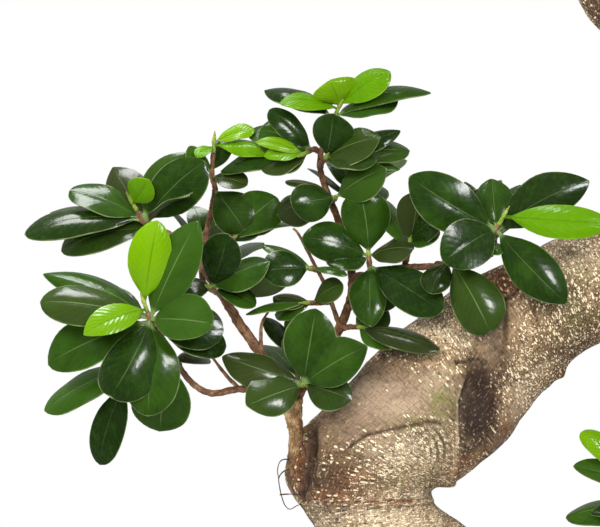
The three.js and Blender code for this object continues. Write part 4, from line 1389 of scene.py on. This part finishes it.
        # A painted highlight along the proud edge of the first lip
        away, side = to_line(x, z, LIPS[0].points)
        masks["crest"] = np.where(side < 0, bell(away / self.crest_width), 0) * front
        (fold_x, fold_z, _), (scar_x, scar_z, _) = FOLDS["folds"], FOLDS["scar"]
        ring = bell((np.hypot(x - fold_x, z - fold_z) - self.fold_radius) / self.fold_width)
        bearing = np.degrees(np.arctan2(z - fold_z, x - fold_x))
        masks["folds"] = ring * bell((bearing - self.fold_bearing) / self.fold_arc) * front
        masks["scar"] = bell(np.hypot(x - scar_x, z - scar_z) / self.scar_radius) * front
        for name, values in masks.items():
            mark(piece, name, values.reshape(-1)[source])

    def roots(self) -> list:
        """Builds the surface roots that run out over the soil.

        Returns:
            The roots' objects.
        """
        made = []
        for number, (azimuth, reach, radius) in enumerate(SURFACE_ROOTS):
            rows = []
            for share, height, size, swing in ROOT_COURSE:
                bearing, away = math.radians(azimuth) + swing, share * reach
                x, y = self.root_middle + away * math.cos(bearing), away * math.sin(bearing)
                rows.append((x, y, height, size * radius))
            made.append(tube(f"root_{number}", rows, self.root_make, self.root_seed * number))
        return made

    def build(self) -> list:
        """Builds the trunk and its roots and dresses them.

        Returns:
            The pieces.
        """
        bark = Bark().material()
        trunk = settle(self.skin(), ["trunk"], bark)
        roots = settle(join("surface_roots", self.roots()), ["trunk"], bark)
        return [trunk, roots]


@dataclass
class Limbs:
    """The woody limbs and twigs, the dead twigs and the hair-thin aerial rootlets."""

    heavy: float = 7.0
    heavy_make: tuple = (28, 1.5, 0.12)
    slim: float = 0.86
    slim_make: tuple = (16, 1.5, 0.18)
    rootlet: float = 0.5
    rootlet_make: tuple = (8, 1.2, 0.3)
    limb_seed: float = 17.0
    rootlet_seed: float = 7.0
    dim_below: float = 376.0
    dim_behind: float = -24.0

    def limb(self, name: str, rows: list, seed: float) -> Piece:
        """Makes one limb, thick and smooth or slim and knobbly.

        Args:
            name: The limb's name.
            rows: Its points and radii.
            seed: A number that sets its lumps.

        Returns:
            The limb.
        """
        if rows[0][3] >= self.heavy:
            return tube(name, rows, self.heavy_make, seed)
        slim = [(x, y, z, self.slim * radius) for x, y, z, radius in rows]
        return tube(name, slim, self.slim_make, seed)

    def build(self) -> list:
        """Builds the limbs and the rootlets and dresses them. The stub gets painted shade low down and
        behind.

        Returns:
            The pieces.
        """
        stub_bark, limb_bark, twig_bark = STUB_BARK.material(), LIMB_BARK.material(), TWIG_BARK.material()
        parts = []
        for number, (name, rows) in enumerate(LIMBS.items()):
            limb = self.limb(name, rows, self.limb_seed * number)
            limb.data.materials.append(limb_bark if rows[0][3] >= self.heavy else twig_bark)
            if name == "stub":
                limb.data.materials[0] = stub_bark
                # Painted shade on the stub: darker low down and on its back
                spots = places(limb) / MM
                low = 0.75 * np.clip((self.dim_below - spots[:, 2]) / 22, 0, 1)
                behind = 0.7 * np.clip((spots[:, 1] - self.dim_behind) / 8, 0, 1)
                mark(limb, "dim", np.maximum(low, behind))
            parts.append(limb)
        wood = settle(join("limbs_and_twigs", parts), ["trunk"])
        hairs = []
        for number, points in enumerate(ROOTLETS):
            sizes = [self.rootlet * (1 - 0.5 * step / len(points)) for step in range(len(points))]
            rows = [(*point, size) for point, size in zip(points, sizes)]
            seed = self.rootlet_seed * number
            hairs.append(tube(f"rootlet_{number}", rows, self.rootlet_make, seed))
        return [wood, settle(join("aerial_rootlets", hairs), [], ROOTLET_BARK.material())]


# The foliage


@dataclass
class Blade:
    """One leaf's place: its root, its directions and its size in millimetres."""

    root: np.ndarray
    axis: np.ndarray
    normal: np.ndarray
    across: np.ndarray
    length: float
    width: float
    arch: float
    usual_arch: ClassVar[float] = 0.08

    @classmethod
    def of(cls, root: np.ndarray, end: np.ndarray, row: tuple, bend: tuple) -> "Blade":
        """Places a leaf from its row, bent clear of its neighbours.

        Args:
            root: Where it leaves its stem.
            end: The stem's end, which its tip is measured from.
            row: The leaf's row.
            bend: Its push to the back at the tip and its turn in degrees.

        Returns:
            The leaf's place.
        """
        _, x, y, z, width, face, *rest = row
        push, turn = bend
        reach = Vector(np.array([x, y + push, z]) + end - root)
        reach.rotate(Matrix.Rotation(math.radians(-turn), 3, "Y"))
        axis = np.array(reach.normalized())
        tilt = math.radians(face)
        normal = np.array([0, -math.sin(tilt), math.cos(tilt)])
        normal = unit(normal - axis * normal.dot(axis))
        arch = rest[0] if rest else cls.usual_arch
        return cls(root, axis, normal, np.cross(axis, normal), reach.length, width, arch)

    def marks(self, wide: float, share: float) -> list:
        """Gives the points by which a leaf is known again: its tip and the edges of one section.

        Args:
            wide: The section's width as a share of the leaf's.
            share: Its place along the leaf.

        Returns:
            The three points.
        """
        lift = self.arch * self.length * hump(share)
        middle = self.root + self.axis * self.length * share + self.normal * lift
        half = self.across * self.width * wide / 2
        return [self.root + self.axis * self.length, middle - half, middle + half]


@dataclass
class Template:
    """A leaf modelled once, flat and one unit long, that is bent into each leaf's place.

    Its section is where the CAD leaf is widest: the share of the width, and the place along the leaf.
    """

    rows: int
    columns: int
    section: tuple
    tip_crowding: float = 1.35
    rib_crowding: float = 1.5
    lean: float = 0.03
    lopsided: float = 0.12
    bow: float = 0.045
    camber: tuple = (0.03, 0.24)
    fold: tuple = (-0.04, 0.2)
    curl: tuple = (0.0, 0.32)
    curl_start: float = 0.68
    wave: tuple = (0.0, 0.035)
    ripples: tuple = (9, 15)
    twist: float = 0.16
    stalk_end: float = 0.06
    stalk_fade: float = 0.1
    stalk_radius: float = 0.95
    groove: float = 0.5
    groove_width: float = 0.09
    keel: float = 0.9
    keel_width: float = 0.12
    above: float = 0.25
    beneath: float = 0.35

    def __post_init__(self) -> None:
        """Models the flat leaf with its two faces and its rim."""
        bpy.ops.mesh.primitive_grid_add(x_subdivisions=self.rows, y_subdivisions=self.columns, size=1)
        leaf = bpy.context.object
        flat = places(leaf)
        flat[:, 0] = 1 - (0.5 - flat[:, 0]) ** self.tip_crowding
        flat[:, 1] = np.sign(flat[:, 1]) * np.abs(2 * flat[:, 1]) ** self.rib_crowding
        put(leaf, flat)
        apply(leaf, "SOLIDIFY", {"thickness": 1.0, "offset": -1.0, "use_quality_normals": False})
        flat, self.faces = take(leaf)
        self.along, self.across, self.layer = flat[:, 0], flat[:, 1], -flat[:, 2]
        self.corners = np.array([v for face in self.faces for v in face])

    def bend(self, blade: Blade, draw: random.Random) -> np.ndarray:
        """Bends the flat leaf into a leaf's place.

        Args:
            blade: The leaf's place.
            draw: The leaf's own random numbers.

        Returns:
            The leaf's points in millimetres.
        """
        s, v, under = self.along, self.across, self.layer > 0.5
        shift = draw.uniform(-self.lean, self.lean)
        point = draw.random()
        outline = np.interp(s, OUTLINE_AT + shift * hump(OUTLINE_AT), (1 - point) * BLUNT + point * POINTED)
        stalk = np.clip(1 - (s - self.stalk_end) / self.stalk_fade, 0, 1) ** 2
        half = np.maximum(outline * blade.width / 2, stalk + 0.05)
        lopsided = draw.uniform(-self.lopsided, self.lopsided)
        bow = draw.uniform(-self.bow, self.bow)
        y = half * v * (1 + lopsided * v) + bow * blade.length * hump(s)
        camber, fold = draw.uniform(*self.camber), draw.uniform(*self.fold)
        curl, wave = draw.uniform(*self.curl), draw.uniform(*self.wave)
        ripple = np.sin(s * draw.uniform(*self.ripples) + draw.uniform(0, 6) + np.where(v > 0, 1.7, 0))
        shaped = half * (fold * np.abs(v) - camber * v**2 * 2) + wave * blade.width * v**2 * ripple
        shaped -= self.groove * bell(v / self.groove_width) * (1 - s)
        keel = self.keel * bell(v / self.keel_width) * (1 - 0.8 * s) * (1 - stalk)
        shaped += np.where(under, -self.beneath - keel, self.above)
        lift = blade.length * (blade.arch * hump(s) - curl * np.clip(s - self.curl_start, 0, 1) ** 2)
        lift += shaped * (1 - stalk)
        lift += np.where(under, -1, 1) * self.stalk_radius * np.sqrt(np.clip(1 - v**2, 0, 1)) * stalk
        twist = draw.uniform(-self.twist, self.twist) * s
        lift += y * np.sin(twist)
        return (
            blade.root
            + np.outer(s * blade.length, blade.axis)
            + np.outer(y * np.cos(twist), blade.across)
            + np.outer(lift, blade.normal)
        )


@dataclass
class Foliage:
    """All the leafy sprays and the bright new growth at the ends of some."""

    shoot_height: float = 26.0
    radii: dict = field(default_factory=lambda: {Age.GROWN: (2.3, 1.7), Age.YOUNG: (1.6, 1.3)})
    stem_make: tuple = (12, 1.3, 0.3)
    bud_length: float = 9.0
    bud_shape: tuple = ((-0.2, 1.3), (0.1, 1.7), (0.45, 1.3), (0.8, 0.6), (1.0, 0.15))
    bud_make: tuple = (10, 0.9, 0.1)
    bud_seed: float = 3.0
    fresh_gap: float = 0.35
    fresh_length: float = 7.0
    shown_seed: float = 5.0
    round_seed: float = 9.0
    fresh_seed: float = 2.0
    near_enough: float = 0.6
    last_root: float = 0.985
    last_root_carrying: float = 0.84
    lowest_rise: float = 2.0
    highest_rise: float = 66.0
    reaches: tuple = (0.66, 0.34)
    root_spread: float = 0.86
    round_width: float = 0.58
    round_faces: tuple = (8, 20)
    face_step: float = 0.618
    leaves: dict = field(default_factory=dict)
    skins: dict = field(default_factory=dict)

    def known_bend(
        self, tree: KDTree, root: np.ndarray, end: np.ndarray, row: tuple, section: tuple
    ) -> Blade:
        """Finds how the CAD leaf was bent clear of its neighbours, by its tip and its widest section.

        Args:
            tree: The CAD node's vertices, in millimetres.
            root: Where the leaf leaves its stem.
            end: The stem's end.
            row: The leaf's row.
            section: Where the CAD leaf is widest.

        Returns:
            The leaf's place.
        """
        best, found = 1e9, None
        for bend in BENDS:
            blade = Blade.of(root, end, row, bend)
            away = sum(tree.find(point)[2] for point in blade.marks(*section))
            if away < best:
                best, found = away, blade
            if away < self.near_enough:
                break
        return found

    def grow(
        self, name: str, node: str, stem: np.ndarray, measured: np.ndarray, rows: list, last: float,
        template: Template,
    ) -> Piece:
        """Grows a node's leaves as one mesh.

        Args:
            name: The object's name.
            node: The CAD node that they stand for.
            stem: The points of the stem that carries them.
            measured: The point that their tips are measured from.
            rows: Their rows.
            last: The furthest place along the stem for a root.
            template: The leaf that is bent.

        Returns:
            The leaves' object.
        """
        tree = search(places(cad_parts[node]) / MM)
        points, faces, tones = [], [], []
        size, walked = len(template.along), paces(stem)
        for number, row in enumerate(rows):
            draw = random.Random(f"{node}/{number}")
            away = min(row[0], last) * walked[-1]
            root = np.array([np.interp(away, walked, stem[:, k]) for k in range(3)])
            blade = self.known_bend(tree, root, measured, row, template.section)
            points.append(template.bend(blade, draw))
            faces += [tuple(v + number * size for v in face) for face in template.faces]
            tones.append(np.full(size, draw.random()))
        piece = add_mesh(name, (np.concatenate(points) * MM).tolist(), faces)
        sheet = np.stack([template.along, 0.5 + template.across / 2], axis=1)[template.corners]
        layer = piece.data.uv_layers.new(name="UVMap")
        layer.data.foreach_set("uv", np.tile(sheet, (len(rows), 1)).astype(np.float32).ravel())
        mark(piece, "below", np.tile(template.layer, len(rows)))
        mark(piece, "leaf_tone", np.concatenate(tones))
        face_out(piece)
        smooth(piece, 50)
        return piece

    def stem(self, points: np.ndarray, age: Age, seed: float) -> Piece:
        """Makes a shoot's stem.

        Args:
            points: Its points.
            age: The shoot's age.
            seed: A number that sets its lumps.

        Returns:
            The stem's object.
        """
        sizes = np.linspace(*self.radii[age], len(points))
        rows = [(*point, size) for point, size in zip(points, sizes)]
        piece = tube("stem", rows, self.stem_make, seed)
        piece.data.materials.append(self.skins[age])
        return piece

    def bud(self, points: np.ndarray) -> Piece:
        """Makes the pointed bud at a stem's end.

        Args:
            points: The stem's points.

        Returns:
            The bud's object.
        """
        ahead = unit(points[-1] - points[-2]) * self.bud_length
        rows = [(*(points[-1] + ahead * share), size) for share, size in self.bud_shape]
        piece = tube("bud", rows, self.bud_make, self.bud_seed)
        piece.data.materials.append(self.skins[Age.YOUNG])
        return piece

    def shoot(
        self, age: Age, name: str, stem: np.ndarray, measured: np.ndarray, rows: list, template: Template,
        seed: float, carries: bool = False,
    ) -> Piece:
        """Builds one shoot with its leaves, and a bud at its end unless it carries a younger shoot.

        Args:
            age: The shoot's age.
            name: The spray's name.
            stem: The stem's points.
            measured: The point that the leaves' tips are measured from.
            rows: The leaves' rows.
            template: The leaf that is bent.
            seed: A number that sets the stem's lumps.
            carries: Whether it carries a younger shoot.

        Returns:
            The piece.
        """
        piece_word, node_word, slot = age.value
        piece_name, node = f"{piece_word}_{name}", f"{node_word}_{name}"
        last = self.last_root_carrying if carries else self.last_root
        leaves = self.grow(piece_name, node, stem, measured, rows, last, template)
        leaves.data.materials.append(self.leaves[age])
        parts = [leaves, self.stem(stem, age, seed)]
        if not carries:
            parts.append(self.bud(stem))
        return settle(join(piece_name, parts), [node])

    def spiral(self, spray: RoundSpray, stem: np.ndarray) -> list:
        """Lays a round spray's leaves in a spiral, from the oldest and lowest to the youngest.

        Args:
            spray: The spray.
            stem: Its stem's points.

        Returns:
            The leaves' rows.
        """
        rows = []
        for index in range(spray.count):
            age = 1 - index / (spray.count - 1)
            azimuth = math.radians(spray.turn) + index * GOLDEN_ANGLE
            rise = math.radians(self.highest_rise + (self.lowest_rise - self.highest_rise) * age)
            length = spray.reach * (self.reaches[0] + self.reaches[1] * age)
            root = 1 - self.root_spread * age * self.shoot_height / paces(stem)[-1]
            out = length * math.cos(rise)
            x, y, z = out * math.cos(azimuth), out * math.sin(azimuth), length * math.sin(rise)
            face = self.round_faces[0] + self.round_faces[1] * ((index * self.face_step) % 1)
            rows.append((root, x, y, z, self.round_width * length, face))
        return rows

    def build(self) -> list:
        """Builds every spray and its new growth and dresses them.

        Returns:
            The pieces.
        """
        self.leaves = {Age.GROWN: DARK_LEAF.material(), Age.YOUNG: YOUNG_LEAF.material()}
        self.skins = {Age.GROWN: TWIG_BARK.material(), Age.YOUNG: SHOOT_SKIN.material()}
        near, far = Template(16, 8, (0.94, 0.5)), Template(10, 4, (1.0, 0.62))
        made = []
        for number, spray in enumerate(SHOWN_SPRAYS):
            stem = np.array(spray.stem, dtype=float)
            end, carries = stem[-1], bool(spray.fresh)
            seed = self.shown_seed * number
            made.append(self.shoot(Age.GROWN, spray.name, stem, end, spray.leaves, near, seed, carries))
            if carries:
                ahead = unit(end - stem[-2])
                start = end + self.fresh_gap * ahead
                tip = np.array([start, start + self.fresh_length * ahead])
                made.append(self.shoot(Age.YOUNG, spray.name, tip, end, spray.fresh, near, self.fresh_seed))
        for number, spray in enumerate(ROUND_SPRAYS):
            start, end = np.array(spray.start, dtype=float), np.array(spray.end, dtype=float)
            stem = np.array([start, end - (0, 0, self.shoot_height), end])
            rows, seed = self.spiral(spray, stem), self.round_seed * number
            made.append(self.shoot(Age.GROWN, spray.name, stem, end, rows, far, seed))
        return made


# The pot and what is in it


@dataclass
class Pot:
    """The rounded oblong pot with its turned-out rim and two drain holes."""

    length: float = 400.0
    depth: float = 280.0
    height: float = 105.0
    wall: float = 12.0
    corner: float = 56.0
    corner_steps: int = 10
    foot_scale: float = 0.9
    rim_height: float = 16.0
    rim_out: float = 7.0
    drain_x: float = 82.0
    drain_diameter: float = 28.0
    edge_radius: float = 2.2

    def span(self, z: float, inset: float) -> tuple:
        """Gives the length and depth of the pot's ring at a height, drawn in by an inset."""
        scale = self.foot_scale + (1 - self.foot_scale) * z / self.height
        return self.length * scale - 2 * inset, self.depth * scale - 2 * inset

    def rise(self, low: tuple, high: tuple) -> None:
        """Extrudes the open ring from one height and inset to another.

        Args:
            low: The height and inset that it starts at.
            high: The height and inset that it ends at.
        """
        before, after = self.span(*low), self.span(*high)
        shift = (0, 0, (high[0] - low[0]) * MM)
        bpy.ops.mesh.extrude_region_move(TRANSFORM_OT_translate={"value": shift})
        size = (after[0] / before[0], after[1] / before[1], 1)
        bpy.ops.transform.resize(value=size, center_override=(0, 0, high[0] * MM))

    def body(self) -> Piece:
        """Models the pot's body.

        Returns:
            The pot's object.
        """
        length, depth = self.span(0, 0)
        bpy.ops.mesh.primitive_plane_add(size=1)
        pot = bpy.context.object
        put(pot, places(pot) * (length * MM, depth * MM, 1))
        bpy.ops.object.mode_set(mode="EDIT")
        bpy.ops.mesh.select_all(action="SELECT")
        corner = self.corner * self.foot_scale * MM
        bpy.ops.mesh.bevel(offset=corner, segments=self.corner_steps, affect="VERTICES")
        low = self.height - self.rim_height
        steps = [
            (0, 0), (2, -0.6), (low * 0.5, -1.2), (low, 0), (low + 3, -self.rim_out),
            (self.height, -self.rim_out), (self.height, self.wall), (low * 0.5, self.wall),
            (self.wall + 4, self.wall), (self.wall, self.wall + 4),
        ]
        for before, after in zip(steps, steps[1:]):
            self.rise(before, after)
        bpy.ops.object.mode_set(mode="OBJECT")
        face_out(pot)
        return pot

    def build(self) -> list:
        """Builds the pot, cuts its drains, rounds its edges and dresses it.

        Returns:
            The pieces.
        """
        pot = self.body()
        radius, depth = self.drain_diameter / 2 * MM, 3 * self.wall * MM
        for x in (-self.drain_x, self.drain_x):
            where = (x * MM, 0, self.wall / 2 * MM)
            bpy.ops.mesh.primitive_cylinder_add(vertices=32, radius=radius, depth=depth, location=where)
            drill = bpy.context.object
            apply(pot, "BOOLEAN", {"object": drill, "operation": "DIFFERENCE"})
            bpy.data.objects.remove(drill)
        edges = {"width": self.edge_radius * MM, "segments": 3, "limit_method": "ANGLE", "angle_limit": 0.5}
        apply(pot, "BEVEL", edges)
        smooth(pot, 40)
        pot.name = "glazed_pot"
        below_rim = self.height - places(pot)[:, 2] / MM
        edge = bell(below_rim / 1.4) + 0.8 * bell((below_rim - self.rim_height + 3) / 1.6)
        mark(pot, "edge", np.clip(edge, 0, 1))
        return [settle(pot, ["pot"], Glaze().material())]


@dataclass
class Soil:
    """The soil's low mound with its grit and its cushions of moss."""

    edge: float = 92.0
    shoulder: float = 100.0
    crown: float = 104.0
    slope: tuple = (0, 0.3, 0.72, 1.0)
    half_length: float = 182.0
    half_depth: float = 122.0
    tuck: float = 0.6
    squareness: float = 3.4
    thickness: float = 8.0
    crumbs: tuple = ((1.5, 9, 3), (0.8, 3, 9))
    smooth_rim: float = 0.97
    strewn: tuple = (180.0, 120.0)
    strewn_share: float = 0.96
    trunk_foot: tuple = (74.0, 58.0)
    tip_depth: float = 0.6
    grit_count: int = 1500
    grit_sizes: tuple = (0.9, 2.7)
    cushions: int = 34
    cushion_widths: tuple = (10, 27)
    cushion_heights: tuple = (3.5, 7)
    blades: int = 5200
    blade_heights: tuple = (1.4, 2.8)
    blade_thickness: float = 0.84

    def height(self, share: float) -> float:
        """Gives the soil's height at a share of the way out from the middle to the pot's wall."""
        heights = [self.crown, self.crown, self.shoulder, self.edge]
        return float(np.interp(share, self.slope, heights))

    def share(self, u: float, v: float) -> float:
        """Gives how far out a point is in the pot's rounded outline, from its shares along X and Y."""
        return (abs(u) ** self.squareness + abs(v) ** self.squareness) ** (1 / self.squareness)

    def mound(self) -> Piece:
        """Models the soil's top.

        Returns:
            The soil's object.
        """
        bpy.ops.mesh.primitive_grid_add(x_subdivisions=140, y_subdivisions=96, size=2)
        soil = bpy.context.object
        soil.name = "potting_soil"
        rows = []
        for u, v, _ in places(soil):
            far = max(abs(u), abs(v))
            scale = far / (self.share(u, v) or 1)
            x, y = (self.half_length + self.tuck) * u * scale, (self.half_depth + self.tuck) * v * scale
            bump = sum(tall * noise.noise(Vector((x, y, seed)) / size) for tall, size, seed in self.crumbs)
            rows.append((x * MM, y * MM, (self.height(far) + (bump if far < self.smooth_rim else 0)) * MM))
        put(soil, np.array(rows))
        apply(soil, "SOLIDIFY", {"thickness": self.thickness * MM, "offset": -1.0})
        only(soil)
        bpy.ops.object.shade_smooth()
        return soil

    def free(self, draw: random.Random) -> tuple:
        """Draws a free place on the soil, outside the trunk's foot.

        Args:
            draw: The random numbers.

        Returns:
            Its x, y and z in millimetres.
        """
        while True:
            x, y = [draw.uniform(-reach, reach) for reach in self.strewn]
            share = self.share(x / self.half_length, y / self.half_depth)
            at_foot = math.hypot(x / self.trunk_foot[0], y / self.trunk_foot[1]) <= 1
            if share < self.strewn_share and not at_foot:
                return x, y, self.height(share)

    def scatter(self, name: str, shapes: list) -> Piece:
        """Puts many small shapes in one mesh.

        Args:
            name: The object's name.
            shapes: Each one's points in millimetres and its faces.

        Returns:
            The object.
        """
        points, faces, tips = [], [], []
        for rows, sides in shapes:
            faces += [tuple(v + len(points) for v in side) for side in sides]
            top = max(row[2] for row in rows)
            tips += [float(row[2] > top - self.tip_depth) for row in rows]
            points += [tuple(c * MM for c in row) for row in rows]
        piece = add_mesh(name, points, faces)
        mark(piece, "tip", np.array(tips))
        face_out(piece)
        smooth(piece, 60)
        return piece

    def grit(self) -> Piece:
        """Scatters rough grains of lava and clay.

        Returns:
            The grit's object.
        """
        bpy.ops.mesh.primitive_ico_sphere_add(subdivisions=1, radius=1)
        rows, sides = take(bpy.context.object)
        draw = random.Random(41)
        shapes = []
        for _ in range(self.grit_count):
            x, y, z = self.free(draw)
            size = draw.uniform(*self.grit_sizes)
            turn = Matrix.Rotation(draw.uniform(0, 6.3), 3, (draw.random(), draw.random(), 1))
            middle = Vector((x, y, z + 0.35 * size))
            grain = [tuple(turn @ Vector(row) * size * draw.uniform(0.72, 1.2) + middle) for row in rows]
            shapes.append((grain, sides))
        return self.scatter("soil_grit", shapes)

    def swell(self, spot: Vector) -> float:
        """Gives how far a cushion of moss swells at a spot."""
        return 1 + 0.3 * noise.noise(spot * 1.3)

    def moss(self) -> Piece:
        """Grows moss: low cushions of uneven outline, and short blades that stand on them.

        Returns:
            The moss's object.
        """
        bpy.ops.mesh.primitive_ico_sphere_add(subdivisions=3, radius=1)
        rows, sides = take(bpy.context.object)
        draw = random.Random(7)
        beds = [
            (*self.free(draw), draw.uniform(*self.cushion_widths), draw.uniform(*self.cushion_heights))
            for _ in range(self.cushions)
        ]
        shapes = []
        for x, y, z, wide, tall in beds:
            cushion = []
            for row in rows:
                spot = Vector((x, y, 0)) / 30 + Vector(row)
                swell = self.swell(spot) + 0.06 * noise.noise(spot * 7)
                out, up = wide * swell, tall * swell
                cushion.append((x + out * row[0], y + out * row[1], z - 1 + up * row[2]))
            shapes.append((cushion, sides))
        for _ in range(self.blades):
            x, y, z, wide, tall = draw.choice(beds)
            bearing, out = draw.uniform(0, 2 * math.pi), math.sqrt(draw.random()) * 1.02
            u, v = out * math.cos(bearing), out * math.sin(bearing)
            spot = Vector((x, y, 0)) / 30 + Vector((u, v, 0.5))
            base = z - 1.5 + tall * self.swell(spot) * math.sqrt(1 - min(out, 1) ** 2)
            x, y = x + wide * u, y + wide * v
            lean = draw.uniform(-0.9, 0.9), draw.uniform(-0.9, 0.9)
            thick = self.blade_thickness / 2
            foot = [(x + thick * math.cos(k * 2.1), y + thick * math.sin(k * 2.1), base) for k in range(3)]
            tip = (x + lean[0], y + lean[1], base + draw.uniform(*self.blade_heights))
            shapes.append(([*foot, tip], [(0, 2, 1), (0, 1, 3), (1, 2, 3), (2, 0, 3)]))
        return self.scatter("moss", shapes)

    def build(self) -> list:
        """Builds the soil, its grit and its moss and dresses them.

        Returns:
            The pieces.
        """
        earth = Earth("potting_soil", tone(46, 34, 24), tone(104, 82, 58), 300).material()
        stone = Earth("grit", tone(92, 70, 52), tone(176, 154, 128), 500).material()
        return [
            settle(self.mound(), ["soil"], earth),
            settle(self.grit(), [], stone),
            settle(self.moss(), [], Moss().material()),
        ]


@dataclass
class Screens:
    """The drain screens, which keep their CAD mesh."""

    nodes: tuple = ("drain_screen_left", "drain_screen_right")

    def build(self) -> list:
        """Gives the screens a moulded plastic.

        Returns:
            The screens' objects.
        """
        plastic = Plastic("screen_plastic", tone(30, 32, 30), tone(58, 54, 48)).material()
        screens = [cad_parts[node] for node in self.nodes]
        for screen in screens:
            for slot in screen.material_slots:
                slot.material = plastic
            if not screen.material_slots:
                screen.data.materials.append(plastic)
        return screens


# The studio


@dataclass
class Studio:
    """A plain studio: a pale floor, a white surround, soft lamps and the photograph's camera."""

    middle_x: float = -0.133
    middle_z: float = 0.49455
    away: float = 4.6
    shown_width: float = 0.42
    focus_y: float = -0.02
    sensor: float = 36.0
    floor_radius: float = 1.5
    front_light: float = 0.06
    back_light: float = 0.42

    def camera(self) -> None:
        """Sets up the camera: level, and far off, as the photograph's is."""
        view = bpy.data.cameras.new("camera")
        view.sensor_width = self.sensor
        view.lens = self.sensor * (self.away + self.focus_y) / self.shown_width
        view.clip_end = 100
        camera = add("camera", view)
        camera.location = (self.middle_x, -self.away, self.middle_z)
        camera.rotation_euler = (math.radians(90), 0, 0)
        bpy.context.scene.camera = camera

    def lamp(self, name: str, spot: tuple, size: float, power: float, mirrored: bool) -> None:
        """Hangs one soft square lamp, aimed at what the photograph shows.

        Args:
            name: The lamp's name.
            spot: Where it hangs.
            size: The length of its side.
            power: Its power in watts.
            mirrored: Whether glossy leaves show it.
        """
        light = bpy.data.lights.new(name, "AREA")
        light.size = size
        light.energy = power
        lamp = add(name, light)
        lamp.location = spot
        aim = Vector((self.middle_x, 0, self.middle_z)) - Vector(spot)
        lamp.rotation_euler = aim.to_track_quat("-Z", "Y").to_euler()
        lamp.visible_camera = False
        lamp.visible_glossy = mirrored

    def surround(self) -> None:
        """Makes the surround white, and dimmer for light that comes from the front."""
        world = bpy.data.worlds.new("surround")
        bpy.context.scene.world = world
        paint = Paint(world)
        side = paint.part(paint.node("ShaderNodeTexCoord"), 1)
        reach = {"From Min": -1, "From Max": 0.6, "To Min": self.front_light, "To Max": self.back_light}
        light = paint.node("ShaderNodeMapRange", None, {"Value": side, **reach})
        light = light.larger(paint.node("ShaderNodeLightPath"))
        sky = paint.node("ShaderNodeBackground", None, {"Color": (1, 1, 1, 1), "Strength": light})
        paint.node("ShaderNodeOutputWorld", None, {"Surface": sky})

    def floor(self) -> None:
        """Lays the plain pale floor."""
        bpy.ops.mesh.primitive_circle_add(vertices=96, radius=self.floor_radius, fill_type="NGON")
        floor = bpy.context.object
        floor.name = "floor"
        paint = paint_for("pale_floor")
        grain = paint.noise(paint.place(), 6, 3)
        colour = paint.mix(tone(232, 231, 228), tone(240, 239, 237), grain)
        floor.data.materials.append(paint.finish(colour, 0.6 + 0.1 * grain, {}))
        floor.visible_glossy = False

    def build(self) -> None:
        """Sets up the camera, the surround, the floor and the lamps."""
        bpy.context.scene.view_settings.view_transform = "Standard"
        self.camera()
        self.surround()
        self.floor()
        for lamp in LAMPS:
            self.lamp(*lamp)


def main() -> None:
    """Builds the studio and the tree in order and reports each piece."""
    logging.basicConfig(level=logging.INFO, format="%(message)s")
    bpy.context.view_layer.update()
    Studio().build()
    pieces = []
    for part in (Trunk(), Limbs(), Foliage(), Pot(), Soil(), Screens()):
        pieces += part.build()
    log.info("%d pieces", len(pieces))


if __name__ == "__main__":
    main()
